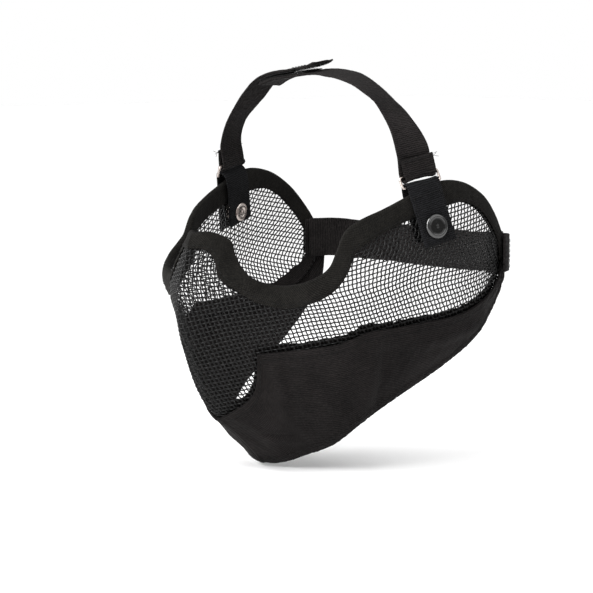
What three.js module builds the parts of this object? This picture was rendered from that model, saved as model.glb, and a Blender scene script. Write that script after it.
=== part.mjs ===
// Half-face mask of woven steel mesh with ear cups, a cloth jaw cover and two elastic straps.
// Millimetres, +Z up, the wearer looks along -Y and +X is the wearer's left.
// The origin is the middle of the head, level with the ears.
// The shell is described by its distance from the upright axis through the origin: a place on it
// is an angle (0 at the nose, 90 at the left ear) and a height.
import * as THREE from 'three';

// Driving dimensions
const GAP = 0.3;                 // clearance between neighbouring pieces
const MESH_HALF = 0.55;          // half of the woven mesh's thickness
const TAPE = 1.0;                // binding tape
const TAPE_EASE = 0.38;          // how loosely it is folded over the mesh
const COVER = 1.5;               // doubled nylon of the jaw cover
const COVER_EASE = 0.3;          // how loosely it lies over the mesh
const WEBBING = 1.5;             // elastic strap
const STRAP_WIDTH = 25;          // of the nape strap
const CROWN_END_WIDTH = 22.4;    // of the crown strap, at its rings
const CROWN_WIDTH = 19;          // of the crown strap, where it is stretched over the head
const PATCH = 0.8;               // hook or loop fastener
const PATCH_WIDTH = 20;
const TAB = 1.2;                 // tab cloth
const TAB_WIDTH = 22.6;
const TAB_LENGTH = 36.7;
const RING_WIRE = 0.9;           // wire radius
const RING_WIDTH = 28;
const RING_HEIGHT = 6.9;
const SNAP_RADIUS = 7.5;
const SNAP_DROP = 26.1;          // from the tab's fold down to the snap
const SIDES = [{ name: 'left', sign: 1 }, { name: 'right', sign: -1 }];

// Shell sections: radius at each angle, for each height from the chin up
const ANGLES = [0, 10, 20, 32, 44, 58, 75, 95, 110, 125];
const SECTIONS = [
  { height: -125, radii: [69, 66, 62, 55, 47, 41, 38, 38, 38, 38] },
  { height: -105, radii: [91, 86, 80, 76, 73, 60, 51, 48, 48, 48] },
  { height: -85, radii: [116.5, 102, 93, 87.5, 85, 75, 65.5, 60, 58.5, 58.5] },
  { height: -50, radii: [133, 116.5, 106.5, 100, 98, 92.5, 85.5, 83, 83.5, 83] },
  { height: -32, radii: [136.5, 123, 114.5, 108, 107, 97.5, 89.5, 89, 90.5, 91] },
  { height: -16, radii: [136.5, 126, 119, 114, 112.5, 101, 92, 93, 95, 96] },
  { height: -4, radii: [133, 123, 117.5, 112.5, 109.5, 99.5, 91.5, 94, 96, 97] },
  { height: 10, radii: [127.5, 118, 113, 107, 101, 96, 91, 94.5, 97, 98] },
  { height: 45, radii: [112, 104, 99, 96, 96, 93, 89, 90, 92.5, 95] },
];
// Under the eye the edge is tucked in towards the cheek: angle, edge height and depth
const TUCK = [
  [0, 16.5, 0], [3.6, 17.5, 1], [8, 12.5, 7.5], [10.5, 3, 9], [15.5, -7.5, 8.5], [22, -12.3, 8],
  [29, -12.5, 4], [36, -9, 0], [44, 8, 0],
];
const TUCK_REACH = 8;            // how far below the edge the tuck fades out
const TUCK_END = 40;             // degrees from the nose

// Outlines on the left half, as [angle, height], station by station from the nose to the rear
const TOP_EDGE = [
  [0, 16.5], [3.6, 17.5], [8, 12.5], [10.5, 3], [15.5, -7.5], [22, -12.3], [29, -12.5],
  [36.3, -8.7], [41, -2.5], [43.3, 7], [46.3, 19], [51.5, 25.3], [60, 31.3], [69.5, 38],
  [78, 43.8], [88, 47], [98.5, 44.3], [108, 35.5], [115.8, 21.5], [121, 7], [124.3, -8],
];
const TAPE_EDGE = [
  [0, 8.5], [4, 8], [7.2, 2], [9.6, -8], [14.3, -15.5], [20.5, -22.3], [27.5, -24.5],
  [35.5, -21.5], [42.5, -14.5], [46.6, -4.5], [49.5, 7], [55.5, 15], [63, 21], [71.5, 26.5],
  [79.5, 31], [88, 34], [96.5, 34.5], [103.5, 30], [110, 20.5], [115, 9.5], [118.3, -3],
];
const MESH_FOOT = [
  [0, -101], [3.5, -98.5], [6.5, -94.5], [9.5, -91], [12.5, -87], [17.5, -80], [23.5, -60],
  [33, -57], [40, -55], [45.5, -53], [52, -49], [59, -46.5], [66, -45.5], [72.5, -44.5],
  [80, -43], [88, -42], [96, -40], [103.5, -36.5], [110, -31.5], [115.5, -25], [120, -16],
];
// The jaw cover starts with the mouth notch and goes on along the cheek to the rear of the ear cup
const NOTCH_EDGE = [
  [0, -94], [3.6, -91.3], [7.3, -87.5], [10.4, -83.8], [13.6, -77.5], [15.2, -71], [17.2, -53],
];
const NOTCH_HEM = [
  [0, -124.5], [8, -124], [14, -122.5], [18, -121], [22, -119], [25, -117.5], [29, -115.8],
];
const CHEEK_EDGE = [
  [17.2, -53], [24, -51.5], [31.1, -49.9], [39.8, -47.5], [45.5, -45], [53.8, -39.5], [65.4, -37.8],
  [77, -36], [88.7, -34.5], [99.7, -31], [108.5, -25], [114.5, -17.5], [117.8, -9.5], [118.3, -3.9],
];
const CHEEK_HEM = [
  [29, -115.8], [34, -113.5], [40, -110], [45, -105], [51, -98.5], [58.5, -92], [68, -85],
  [79, -77.5], [90, -70.5], [100, -62.5], [110.5, -51.5], [118.5, -38], [123, -25], [124.5, -9],
];
const MESH_SEAM = 14;            // station where the ear cup's mesh and tape take over from the face's
const LAST = TOP_EDGE.length - 1;
const TAPE_SHARES = [0.13, 0.55, 1];  // rows shared by the tape and the mesh inside it

// Straps: [distance from the middle, y, z] of the underside's middle line
const CROWN = [
  [0, -18.5, 110.5], [19, -21, 109], [40, -25, 104], [62, -26, 92], [76, -26, 78], [83.5, -25, 65],
];
const NAPE = [[0, 93, -5], [21, 90.5, -4.5], [42, 83, -3], [62, 70.5, -1], [76, 59, 1]];
const TOP_OVERLAP = { strap: -45, patch: -44, hook: -18, loop: -10, split: -17, tip: -1 };
const REAR_OVERLAP = { strap: -40, patch: -39, hook: -14, loop: -4, split: -12, tip: 8 };
const TAIL_GAP = 1.0;            // between a strap and its tail, where the tail bends up
const TAIL_LIFT = 2.6;           // the tip of the crown tail stands off the strap

// Tab, ring and anchor places on the left side
const RING_FOOT = new THREE.Vector3(87.6, -22, 45.9);
const RING_HEAD = new THREE.Vector3(84.9, -22.6, 52.2);
const STRAP_RISE = new THREE.Vector3(83.5, -25, 65);
const TAB_FACING = 78;           // the way the tab faces, in degrees from the nose
const TAB_DOWN = new THREE.Vector3(0.175, 0.223, -0.959).normalize();
const ANCHOR_ANGLE = 122.6;
const ANCHOR_HEIGHT = 1;
const ANCHOR_WIDTH = 23;
const ANCHOR_REACH = 11;         // how far its two leaves run forward from the rim
const ANCHOR_FOLD = 5.4;         // and how far behind the rim it is folded
const ANCHOR_EASE = 0.8;

const radians = THREE.MathUtils.degToRad;
const vec = (x, y, z) => new THREE.Vector3(x, y, z);
const flip = (v, sign) => vec(v.x * sign, v.y, v.z);

// Tab's own directions: down the tab, across it and out from the head
const facing = vec(Math.sin(radians(TAB_FACING)), -Math.cos(radians(TAB_FACING)), 0);
const tabAcross = facing.clone().cross(TAB_DOWN).normalize().negate();
const tabOut = TAB_DOWN.clone().cross(tabAcross).normalize().negate();
if (tabAcross.y < 0) tabAcross.negate();
if (tabOut.x < 0) tabOut.negate();

const ringUp = RING_HEAD.clone().sub(RING_FOOT).normalize();
const ringAlong = tabAcross.clone().addScaledVector(ringUp, -tabAcross.dot(ringUp)).normalize();

// Smooth curve through (xs, ys); each slope comes from the neighbouring points
function smooth(xs, ys, x) {
  const n = xs.length;
  let i = 0;
  while (i < n - 2 && x > xs[i + 1]) i += 1;
  const slope = (k) => {
    const before = Math.max(k - 1, 0);
    const after = Math.min(k + 1, n - 1);
    return (ys[after] - ys[before]) / (xs[after] - xs[before]);
  };
  const span = xs[i + 1] - xs[i];
  const t = (x - xs[i]) / span;
  if (t < 0) return ys[0] + slope(0) * (x - xs[0]);
  if (t > 1) return ys[n - 1] + slope(n - 1) * (x - xs[n - 1]);
  const rise = t * t * (3 - 2 * t);
  const start = t * (1 - t) * (1 - t);
  const finish = t * t * (t - 1);
  return ys[i] * (1 - rise) + ys[i + 1] * rise + span * (start * slope(i) + finish * slope(i + 1));
}

const HEIGHTS = SECTIONS.map((section) => section.height);
const column = (rows, k) => rows.map((row) => row[k]);

function shellRadius(angle, height) {
  const across = SECTIONS.map((section) => smooth(ANGLES, section.radii, angle));
  const radius = smooth(HEIGHTS, across, height);
  if (angle > TUCK_END) return radius;
  const depth = Math.max(smooth(column(TUCK, 0), column(TUCK, 2), angle), 0);
  const edge = smooth(column(TUCK, 0), column(TUCK, 1), angle);
  const below = Math.max(edge - height, 0) / TUCK_REACH;
  return radius - depth * Math.exp(-below * below);
}

function shellPoint(angle, height) {
  const radius = shellRadius(Math.abs(angle), height);
  return vec(radius * Math.sin(radians(angle)), -radius * Math.cos(radians(angle)), height);
}

// A point standing off the shell by an offset, outwards when it is positive
const SLOPE_STEP = 1.5;          // degrees or millimetres either side of the point
function lift(place, offset) {
  const [angle, height] = place;
  const around = shellPoint(angle + SLOPE_STEP, height).sub(shellPoint(angle - SLOPE_STEP, height));
  const up = shellPoint(angle, height + SLOPE_STEP).sub(shellPoint(angle, height - SLOPE_STEP));
  return shellPoint(angle, height).addScaledVector(around.cross(up).normalize(), offset);
}

// Outline at a station, which may lie between two listed points
function outline(points) {
  const curve = new THREE.CatmullRomCurve3(points.map(([a, h]) => vec(a, h, 0)), false, 'centripetal');
  return (station) => {
    const p = curve.getPoint(station / (points.length - 1));
    return [p.x, p.y];
  };
}

const between = (a, b, share) => [a[0] + (b[0] - a[0]) * share, a[1] + (b[1] - a[1]) * share];
const spread = (from, to, steps) =>
  Array.from({ length: steps + 1 }, (_, i) => from + ((to - from) * i) / steps);

// Closed body from faces given as corner points; equal corners are shared and the faces point out
function closedBody(faces) {
  const corners = new Map();
  const positions = [];
  const index = [];
  const cornerOf = (p) => {
    const key = [p.x, p.y, p.z].map((v) => Math.round(v * 1e4)).join();
    if (!corners.has(key)) {
      corners.set(key, corners.size);
      positions.push(p.x, p.y, p.z);
    }
    return corners.get(key);
  };
  let volume = 0;
  for (const [a, b, c] of faces) {
    const [ia, ib, ic] = [cornerOf(a), cornerOf(b), cornerOf(c)];
    if (ia !== ib && ib !== ic && ic !== ia) index.push(ia, ib, ic);
    volume += a.dot(b.clone().cross(c));
  }
  if (volume < 0) index.reverse();
  const geometry = new THREE.BufferGeometry();
  geometry.setAttribute('position', new THREE.Float32BufferAttribute(positions, 3));
  geometry.setIndex(index);
  geometry.computeVertexNormals();
  return geometry;
}

function quad(faces, a, b, c, d) {
  faces.push([a, b, c], [a, c, d]);
}

// Sheet between two grids of points of the same size, closed round its four sides
function sheet(outer, inner) {
  const faces = [];
  const rows = outer.length - 1;
  const cols = outer[0].length - 1;
  for (let i = 0; i < rows; i += 1) {
    for (let j = 0; j < cols; j += 1) {
      quad(faces, outer[i][j], outer[i + 1][j], outer[i + 1][j + 1], outer[i][j + 1]);
      quad(faces, inner[i][j], inner[i][j + 1], inner[i + 1][j + 1], inner[i + 1][j]);
    }
    quad(faces, outer[i][0], inner[i][0], inner[i + 1][0], outer[i + 1][0]);
    quad(faces, outer[i][cols], outer[i + 1][cols], inner[i + 1][cols], inner[i][cols]);
  }
  for (let j = 0; j < cols; j += 1) {
    quad(faces, outer[0][j], outer[0][j + 1], inner[0][j + 1], inner[0][j]);
    quad(faces, outer[rows][j], inner[rows][j], inner[rows][j + 1], outer[rows][j + 1]);
  }
  return closedBody(faces);
}

const mirrored = (place, sign) => [place[0] * sign, place[1]];

// Part of the shell between two outlines, from an inner to an outer offset
function shellPanel(pairs, shares, innerOffset, outerOffset) {
  const grid = (offset) =>
    pairs.map(([top, foot]) => shares.map((share) => lift(between(top, foot, share), offset)));
  return sheet(grid(outerOffset), grid(innerOffset));
}

// Tape folded over the rim from one station to another
function rimTape(stations) {
  const edge = outline(TOP_EDGE);
  const end = outline(TAPE_EDGE);
  const near = MESH_HALF + GAP + TAPE_EASE;
  const out = near + TAPE;
  const leaf = (offset) => TAPE_SHARES.map((share) => [share, offset]);
  const fold = (share, offset) => [...leaf(offset).reverse(), [share, 0], ...leaf(-offset)];
  const outsideFold = fold(-0.03, out);
  const insideFold = fold(0.06, near);
  const grid = (section) => stations.map((station) => {
    const sign = station < 0 ? -1 : 1;
    const top = mirrored(edge(Math.abs(station)), sign);
    const foot = mirrored(end(Math.abs(station)), sign);
    return section.map(([share, offset]) => lift(between(top, foot, share), offset));
  });
  return sheet(grid(outsideFold), grid(insideFold));
}

// Woven mesh from just inside the tape's fold down to its foot behind the jaw cover
function meshPanel(stations, shares) {
  const edge = outline(TOP_EDGE);
  const end = outline(TAPE_EDGE);
  const foot = outline(MESH_FOOT);
  const grid = (offset) => stations.map((station) => {
    const sign = station < 0 ? -1 : 1;
    const [top, middle, low] = [edge, end, foot].map((curve) => mirrored(curve(Math.abs(station)), sign));
    const underTape = TAPE_SHARES.map((share) => between(top, middle, share));
    const below = shares.slice(1).map((share) => between(middle, low, share));
    return [...underTape, ...below].map((place) => lift(place, offset));
  });
  return sheet(grid(MESH_HALF), grid(-MESH_HALF));
}

function jawCover(sign) {
  const seamGap = 0.02;          // stations left open at the chin seam
  const pairsAlong = (edge, hem, stations) => {
    const curves = [outline(edge), outline(hem)];
    return stations.map((station) => curves.map((curve) => mirrored(curve(station), sign)));
  };
  const front = pairsAlong(NOTCH_EDGE, NOTCH_HEM, spread(seamGap, NOTCH_EDGE.length - 1, 10));
  const side = pairsAlong(CHEEK_EDGE, CHEEK_HEM, spread(0, CHEEK_EDGE.length - 1, 24).slice(1));
  const inner = MESH_HALF + GAP + COVER_EASE;
  return shellPanel([...front, ...side], spread(0, 1, 6), inner, inner + COVER);
}

function chinSeamTape() {
  const angles = spread(-4, 4, 4);
  const pairs = angles.map((angle) => [[angle, -103.5], [angle, -123]]);
  return shellPanel(pairs, spread(0, 1, 4), MESH_HALF - TAPE, MESH_HALF);
}

// Flat strip that follows a path; across and widthAt say how it lies and how wide it is at each point
function ribbon(points, across, widthAt, thickness, steps) {
  const curve = new THREE.CatmullRomCurve3(points, false, 'centripetal');
  const outer = [];
  const inner = [];
  for (const share of spread(0, 1, steps)) {
    const middle = curve.getPoint(share);
    const tangent = curve.getTangent(share);
    const side = across(middle).clone();
    const half = (typeof widthAt === 'function' ? widthAt(middle) : widthAt) / 2;
    side.addScaledVector(tangent, -side.dot(tangent)).normalize();
    const normal = tangent.clone().cross(side).normalize();
    const edge = (w, n) => middle.clone().addScaledVector(side, w).addScaledVector(normal, n);
    outer.push([edge(-half, thickness / 2), edge(0, thickness / 2), edge(half, thickness / 2)]);
    inner.push([edge(-half, -thickness / 2), edge(0, -thickness / 2), edge(half, -thickness / 2)]);
  }
  return sheet(outer, inner);
}

// Point on a strap's middle line at a sideways place, standing off the head by an offset
function strapPoint(line, across, x, offset) {
  const at = (value) => vec(
    value,
    smooth(column(line, 0), column(line, 1), Math.abs(value)),
    smooth(column(line, 0), column(line, 2), Math.abs(value)),
  );
  const tangent = at(x + 0.5).sub(at(x - 0.5));
  const normal = tangent.cross(across(at(x))).normalize();
  const outward = line === CROWN ? normal.z : normal.y;
  return at(x).addScaledVector(normal, outward < 0 ? -offset : offset);
}

const within = (low, high, value) => Math.min(Math.max((value - low) / (high - low), 0), 1);

// The elastic is narrower where it is stretched, above the height where its loop is sewn
function crownWidth(p) {
  const share = within(66, 82, p.z);
  return CROWN_END_WIDTH + (CROWN_WIDTH - CROWN_END_WIDTH) * share;
}

// Across the crown strap: its rear edge is the higher one over the crown and the lower one on the
// side of the head, and it comes in line with the ring's bars at its ends
function crownAcross(p) {
  const side = Math.abs(p.x);
  const share = within(60, 82, side);
  const top = vec(0, 0.99, 0.14 - 0.24 * within(25, 62, side));
  return flip(top.lerp(ringAlong, share), Math.sign(p.x) || 1).normalize();
}
const napeAcross = () => vec(0, 0, 1);

// End of a crown strap: a short leg outside, a turn round the ring's upper bar and the rise inside
function strapLoop(sign) {
  const rise = STRAP_RISE.clone().sub(RING_HEAD).normalize();
  const out = vec(rise.z, 0, -rise.x).normalize();
  const leg = [[10.5, 1.8], [5.5, 1.9], [1.6, 2], [-1.4, 1.6], [-2.2, 0], [-1.4, -1.6], [1.6, -2], [5.5, -1.5]];
  const place = ([along, off]) => RING_HEAD.clone().addScaledVector(rise, along).addScaledVector(out, off);
  return leg.map((step) => flip(place(step), sign));
}

const MID = WEBBING / 2;
const LOOP_BASE = WEBBING + GAP;
const HOOK_BASE = LOOP_BASE + PATCH + GAP;
const UPPER_BASE = HOOK_BASE + PATCH + GAP;

function crownStrap(sign) {
  const along = (x, offset) => strapPoint(CROWN, crownAcross, x, offset);
  const rise = [flip(STRAP_RISE.clone().add(vec(-0.7, 0, 0.4)), sign), along(76 * sign, MID)];
  const lower = [62, 50, 38, 25, 12, 0, -12, -25, -36, TOP_OVERLAP.strap].map((x) => along(x, MID));
  const upper = [[-66, MID], [-57, MID + 1.4], [-50, UPPER_BASE + MID - 0.9], [-44, UPPER_BASE + MID],
    [-36, UPPER_BASE + MID], [-28, UPPER_BASE + MID], [TOP_OVERLAP.split, UPPER_BASE + MID]];
  const rest = sign > 0 ? lower : upper.map(([x, offset]) => along(x, offset));
  return ribbon([...strapLoop(sign), ...rise, ...rest], crownAcross, crownWidth, WEBBING, 48);
}

function crownTail() {
  const from = TOP_OVERLAP.split + TAIL_GAP;
  const points = spread(0, 1, 4).map((share) => {
    const x = from + (TOP_OVERLAP.tip - from) * share;
    return strapPoint(CROWN, crownAcross, x, UPPER_BASE + MID + TAIL_LIFT * share * share);
  });
  return ribbon(points, crownAcross, crownWidth, WEBBING, 6);
}

function patchOn(line, across, from, to, base) {
  const points = spread(from, to, 4).map((x) => strapPoint(line, across, x, base + PATCH / 2));
  return ribbon(points, across, PATCH_WIDTH, PATCH, 8);
}

function napeStrap(sign) {
  const along = ([x, offset]) => strapPoint(NAPE, napeAcross, x, offset);
  const lower = spread(76.4, REAR_OVERLAP.strap, 13).map((x) => [x, MID]);
  const upper = [[-76.4, MID], [-70, MID], [-62, MID + 0.3], [-54, MID + 1.6], [-46, UPPER_BASE + MID - 0.4],
    [-40, UPPER_BASE + MID], [-34, UPPER_BASE + MID], [-28, UPPER_BASE + MID], [-20, UPPER_BASE + MID],
    [REAR_OVERLAP.split, UPPER_BASE + MID]];
  const points = (sign > 0 ? lower : upper).map(along);
  return ribbon(points, napeAcross, STRAP_WIDTH, WEBBING, 24);
}

function napeTail() {
  const points = spread(REAR_OVERLAP.split + TAIL_GAP, REAR_OVERLAP.tip, 4)
    .map((x) => strapPoint(NAPE, napeAcross, x, UPPER_BASE + MID));
  return ribbon(points, napeAcross, STRAP_WIDTH, WEBBING, 6);
}

const tabPoint = (down, out) =>
  RING_FOOT.clone().addScaledVector(TAB_DOWN, down).addScaledVector(tabOut, out);
const FLAP_OUT = 1.95;           // the flap's middle stands this far out from the ring's lower bar
const FLAP_START = 3.5;           // how far down it begins
const LEAF_OUT = -6.4;           // the leaf inside the mask stands this far in

function tabRoot(sign) {
  const path = [[33, LEAF_OUT], [20, LEAF_OUT], [10, LEAF_OUT + 0.1], [4.5, LEAF_OUT + 0.6],
    [0.8, -4.9], [-1.4, -3.2], [-2.1, -1.5], [-2.1, 0], [-1.6, 1.3], [-0.4, FLAP_OUT - 0.1], [0.6, FLAP_OUT]];
  const points = path.map(([down, out]) => flip(tabPoint(down, out), sign));
  const across = () => flip(ringAlong, sign);
  return ribbon(points, across, TAB_WIDTH, TAB, 24);
}

// The flap starts in line with the ring's bar, where it bends, and hangs square further down
function tabFlap(sign) {
  const points = [FLAP_START, 12, 25, TAB_LENGTH].map((down) => flip(tabPoint(down, FLAP_OUT), sign));
  const across = (p) => {
    const down = p.distanceTo(flip(RING_FOOT, sign));
    return flip(ringAlong.clone().lerp(tabAcross, within(FLAP_START, 14, down)), sign);
  };
  return ribbon(points, across, TAB_WIDTH, TAB, 6);
}

// Round snap part turned about the tab's outward direction through the snap's centre
function snapPart(profile, sign) {
  const points = profile.map(([radius, height]) => new THREE.Vector2(radius, height));
  const turned = new THREE.LatheGeometry(points, 24).toNonIndexed();
  const upright = new THREE.Quaternion().setFromUnitVectors(vec(0, 1, 0), tabOut);
  turned.applyQuaternion(upright);
  const centre = tabPoint(SNAP_DROP, 0);
  turned.translate(centre.x, centre.y, centre.z);
  const at = turned.getAttribute('position');
  const corner = (i) => flip(vec().fromBufferAttribute(at, i), sign);
  const faces = [];
  for (let i = 0; i < at.count; i += 3) faces.push([corner(i), corner(i + 1), corner(i + 2)]);
  return closedBody(faces);
}

const flapFace = FLAP_OUT + TAB / 2 + GAP;
const flapBack = FLAP_OUT - TAB / 2 - GAP;
const leafBack = LEAF_OUT - TAB / 2 - GAP;
const capProfile = [[0, flapFace], [SNAP_RADIUS, flapFace], [SNAP_RADIUS, flapFace + 0.7],
  [6.3, flapFace + 1.5], [4, flapFace + 1.9], [0, flapFace + 1.9]];
const socketProfile = [[2.4, flapBack], [5.6, flapBack], [5.6, flapBack - 0.8], [4.6, flapBack - 1.1],
  [2.4, flapBack - 1.1], [2.4, flapBack]];
const studProfile = [[0, -0.9], [5.2, -0.9], [5.2, -0.45], [1.9, -0.45], [1.9, 0.7], [0, 0.7]];
const washerProfile = [[0, leafBack], [6, leafBack], [6, leafBack - 0.6], [5.4, leafBack - 1],
  [0, leafBack - 1]];

// Wire ring: a rectangle with round corners from the tab's fold up to the strap's loop
function wireRing(sign) {
  const normal = ringAlong.clone().cross(ringUp).normalize();
  const half = RING_WIDTH / 2 - RING_WIRE;
  const corner = 1.6;
  const path = [];
  const turns = [[1, 0, 0], [1, 1, 90], [-1, 1, 180], [-1, 0, 270]];
  for (const [side, top, start] of turns) {
    for (const step of spread(0, 90, 4)) {
      const turn = radians(start - 90 + step);
      path.push([side * (half - corner) + corner * Math.cos(turn),
        (top ? RING_HEIGHT - corner : corner) + corner * Math.sin(turn)]);
    }
  }
  const centre = ([a, u]) => RING_FOOT.clone().addScaledVector(ringAlong, a).addScaledVector(ringUp, u);
  const faces = [];
  const sidesOfWire = 8;
  const rings = path.map((place, i) => {
    const before = centre(path[(i + path.length - 1) % path.length]);
    const after = centre(path[(i + 1) % path.length]);
    const outward = after.sub(before).normalize().cross(normal).normalize();
    return spread(0, sidesOfWire, sidesOfWire).slice(0, sidesOfWire).map((k) => {
      const turn = (2 * Math.PI * k) / sidesOfWire;
      const point = centre(place).addScaledVector(outward, RING_WIRE * Math.cos(turn));
      return flip(point.addScaledVector(normal, RING_WIRE * Math.sin(turn)), sign);
    });
  });
  rings.forEach((ring, i) => {
    const next = rings[(i + 1) % rings.length];
    ring.forEach((p, k) => {
      const m = (k + 1) % sidesOfWire;
      quad(faces, p, next[k], next[m], ring[m]);
    });
  });
  return closedBody(faces);
}

// Webbing folded round the rear rim, where the nape strap is sewn on
function rearAnchor(sign) {
  const turn = radians(ANCHOR_ANGLE);
  const forward = vec(-Math.cos(turn), -Math.sin(turn), 0);
  const out = vec(Math.sin(turn), -Math.cos(turn), 0);
  const edge = shellPoint(ANCHOR_ANGLE, ANCHOR_HEIGHT);
  const stand = MESH_HALF + GAP + COVER + GAP + WEBBING / 2 + ANCHOR_EASE;
  const leaf = [[ANCHOR_REACH, stand], [ANCHOR_REACH / 2, stand], [2.2 - ANCHOR_FOLD, stand],
    [1.2 - ANCHOR_FOLD, stand - 0.7], [0.2 - ANCHOR_FOLD, stand - 2]];
  const inside = leaf.map(([f, n]) => [f, -n]).reverse();
  const path = [...leaf, [-ANCHOR_FOLD, 0], ...inside];
  const place = (f, n) => edge.clone().addScaledVector(forward, f).addScaledVector(out, n);
  const rows = path.map(([f, n], i) => {
    const [bf, bn] = path[Math.max(i - 1, 0)];
    const [af, an] = path[Math.min(i + 1, path.length - 1)];
    const length = Math.hypot(af - bf, an - bn);
    return [f, n, (bn - an) / length, (af - bf) / length];
  });
  const grid = (offset) => rows.map(([f, n, nf, nn]) => spread(-1, 1, 2).map((k) => {
    const p = place(f + nf * offset, n + nn * offset);
    p.z += (k * ANCHOR_WIDTH) / 2;
    return flip(p, sign);
  }));
  return sheet(grid(MID), grid(-MID));
}

// Materials
const cloth = (color) => new THREE.MeshStandardMaterial({ color, roughness: 0.95, metalness: 0 });
const metal = (color, roughness) => new THREE.MeshStandardMaterial({ color, roughness, metalness: 1 });
const BLACK_STEEL = metal(0x1b1b1c, 0.55);
const TAPE_CLOTH = cloth(0x232324);
const NYLON = cloth(0x1a1819);
const ELASTIC = cloth(0x242225);
const FASTENER = cloth(0x151516);
const NICKEL = metal(0xb9b2a8, 0.25);
const SNAP_BLACK = metal(0x101011, 0.2);

const mask = new THREE.Group();

function add(name, geometry, material) {
  const piece = new THREE.Mesh(geometry, material);
  piece.name = name;
  mask.add(piece);
}

const SEAM_GAP = 0.03;           // stations left open on each side of the seam
const halfFace = spread(0, MESH_SEAM - SEAM_GAP, 40);
const wholeFace = [...halfFace.slice(1).reverse().map((station) => -station), ...halfFace];
const earCup = spread(MESH_SEAM + SEAM_GAP, LAST - 0.05, 14);
add('face_mesh', meshPanel(wholeFace, spread(0, 1, 9)), BLACK_STEEL);
add('brow_tape', rimTape(wholeFace), TAPE_CLOTH);
add('chin_seam_tape', chinSeamTape(), TAPE_CLOTH);
for (const { name, sign } of SIDES) {
  const cupOnSide = earCup.map((station) => station * sign);
  add(`ear_mesh_${name}`, meshPanel(cupOnSide, spread(0, 1, 7)), BLACK_STEEL);
  add(`ear_rim_tape_${name}`, rimTape(cupOnSide), TAPE_CLOTH);
  add(`jaw_cover_${name}`, jawCover(sign), NYLON);
  add(`tab_${name}`, tabRoot(sign), NYLON);
  add(`tab_flap_${name}`, tabFlap(sign), NYLON);
  add(`snap_cap_${name}`, snapPart(capProfile, sign), SNAP_BLACK);
  add(`snap_socket_${name}`, snapPart(socketProfile, sign), NICKEL);
  add(`snap_stud_${name}`, snapPart(studProfile, sign), NICKEL);
  add(`snap_washer_${name}`, snapPart(washerProfile, sign), NICKEL);
  add(`strap_ring_${name}`, wireRing(sign), NICKEL);
  add(`crown_strap_${name}`, crownStrap(sign), ELASTIC);
  add(`rear_anchor_${name}`, rearAnchor(sign), ELASTIC);
  add(`nape_strap_${name}`, napeStrap(sign), ELASTIC);
}
const crown = (from, to, base) => patchOn(CROWN, crownAcross, from, to, base);
const nape = (from, to, base) => patchOn(NAPE, napeAcross, from, to, base);
add('crown_loop_patch', crown(TOP_OVERLAP.patch, TOP_OVERLAP.loop, LOOP_BASE), FASTENER);
add('crown_hook_patch', crown(TOP_OVERLAP.patch, TOP_OVERLAP.hook, HOOK_BASE), FASTENER);
add('crown_tail', crownTail(), ELASTIC);
add('nape_loop_patch', nape(REAR_OVERLAP.patch, REAR_OVERLAP.loop, LOOP_BASE), FASTENER);
add('nape_hook_patch', nape(REAR_OVERLAP.patch, REAR_OVERLAP.hook, HOOK_BASE), FASTENER);
add('nape_tail', napeTail(), ELASTIC);

export default mask;
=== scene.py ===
"""Black half-face mask: woven wire face and ear cups, cloth jaw cover, snap tabs and elastic straps.

Shapes are worked out in millimetres, +Z up, the wearer looking along -Y, and become metres in Parts.piece().
The shell is given by its distance from the upright axis through the head, at an angle (0 at the nose,
90 at the left ear, negative on the right) and a height.
"""
import math
import random

import bpy
import numpy as np
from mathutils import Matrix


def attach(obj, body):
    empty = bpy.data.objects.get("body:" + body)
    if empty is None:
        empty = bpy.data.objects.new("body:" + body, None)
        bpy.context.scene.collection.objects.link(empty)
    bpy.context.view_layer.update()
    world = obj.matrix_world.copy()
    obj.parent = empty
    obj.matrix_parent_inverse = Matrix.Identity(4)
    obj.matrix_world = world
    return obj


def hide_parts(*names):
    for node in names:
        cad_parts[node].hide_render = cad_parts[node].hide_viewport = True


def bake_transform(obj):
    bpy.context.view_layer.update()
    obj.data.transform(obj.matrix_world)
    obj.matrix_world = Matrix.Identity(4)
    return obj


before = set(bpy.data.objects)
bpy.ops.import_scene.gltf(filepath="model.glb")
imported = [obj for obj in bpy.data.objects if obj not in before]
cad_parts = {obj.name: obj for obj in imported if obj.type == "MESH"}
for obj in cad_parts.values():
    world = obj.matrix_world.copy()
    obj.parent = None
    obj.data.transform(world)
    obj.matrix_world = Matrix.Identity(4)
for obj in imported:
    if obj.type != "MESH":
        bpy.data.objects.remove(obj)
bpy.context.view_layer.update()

MM = 0.001
SIDES = (("left", 1.0), ("right", -1.0))

# -------------------- the shell

ANGLES = [0, 10, 20, 32, 44, 58, 75, 95, 110, 125]
SECTIONS = [
    (-125, [69, 66, 62, 55, 47, 41, 38, 38, 38, 38]),
    (-105, [91, 86, 80, 76, 73, 60, 51, 48, 48, 48]),
    (-85, [116.5, 102, 93, 87.5, 85, 75, 65.5, 60, 58.5, 58.5]),
    (-50, [133, 116.5, 106.5, 100, 98, 92.5, 85.5, 83, 83.5, 83]),
    (-32, [136.5, 123, 114.5, 108, 107, 97.5, 89.5, 89, 90.5, 91]),
    (-16, [136.5, 126, 119, 114, 112.5, 101, 92, 93, 95, 96]),
    (-4, [133, 123, 117.5, 112.5, 109.5, 99.5, 91.5, 94, 96, 97]),
    (10, [127.5, 118, 113, 107, 101, 96, 91, 94.5, 97, 98]),
    (45, [112, 104, 99, 96, 96, 93, 89, 90, 92.5, 95]),
]
HEIGHTS = [height for height, _ in SECTIONS]
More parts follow.
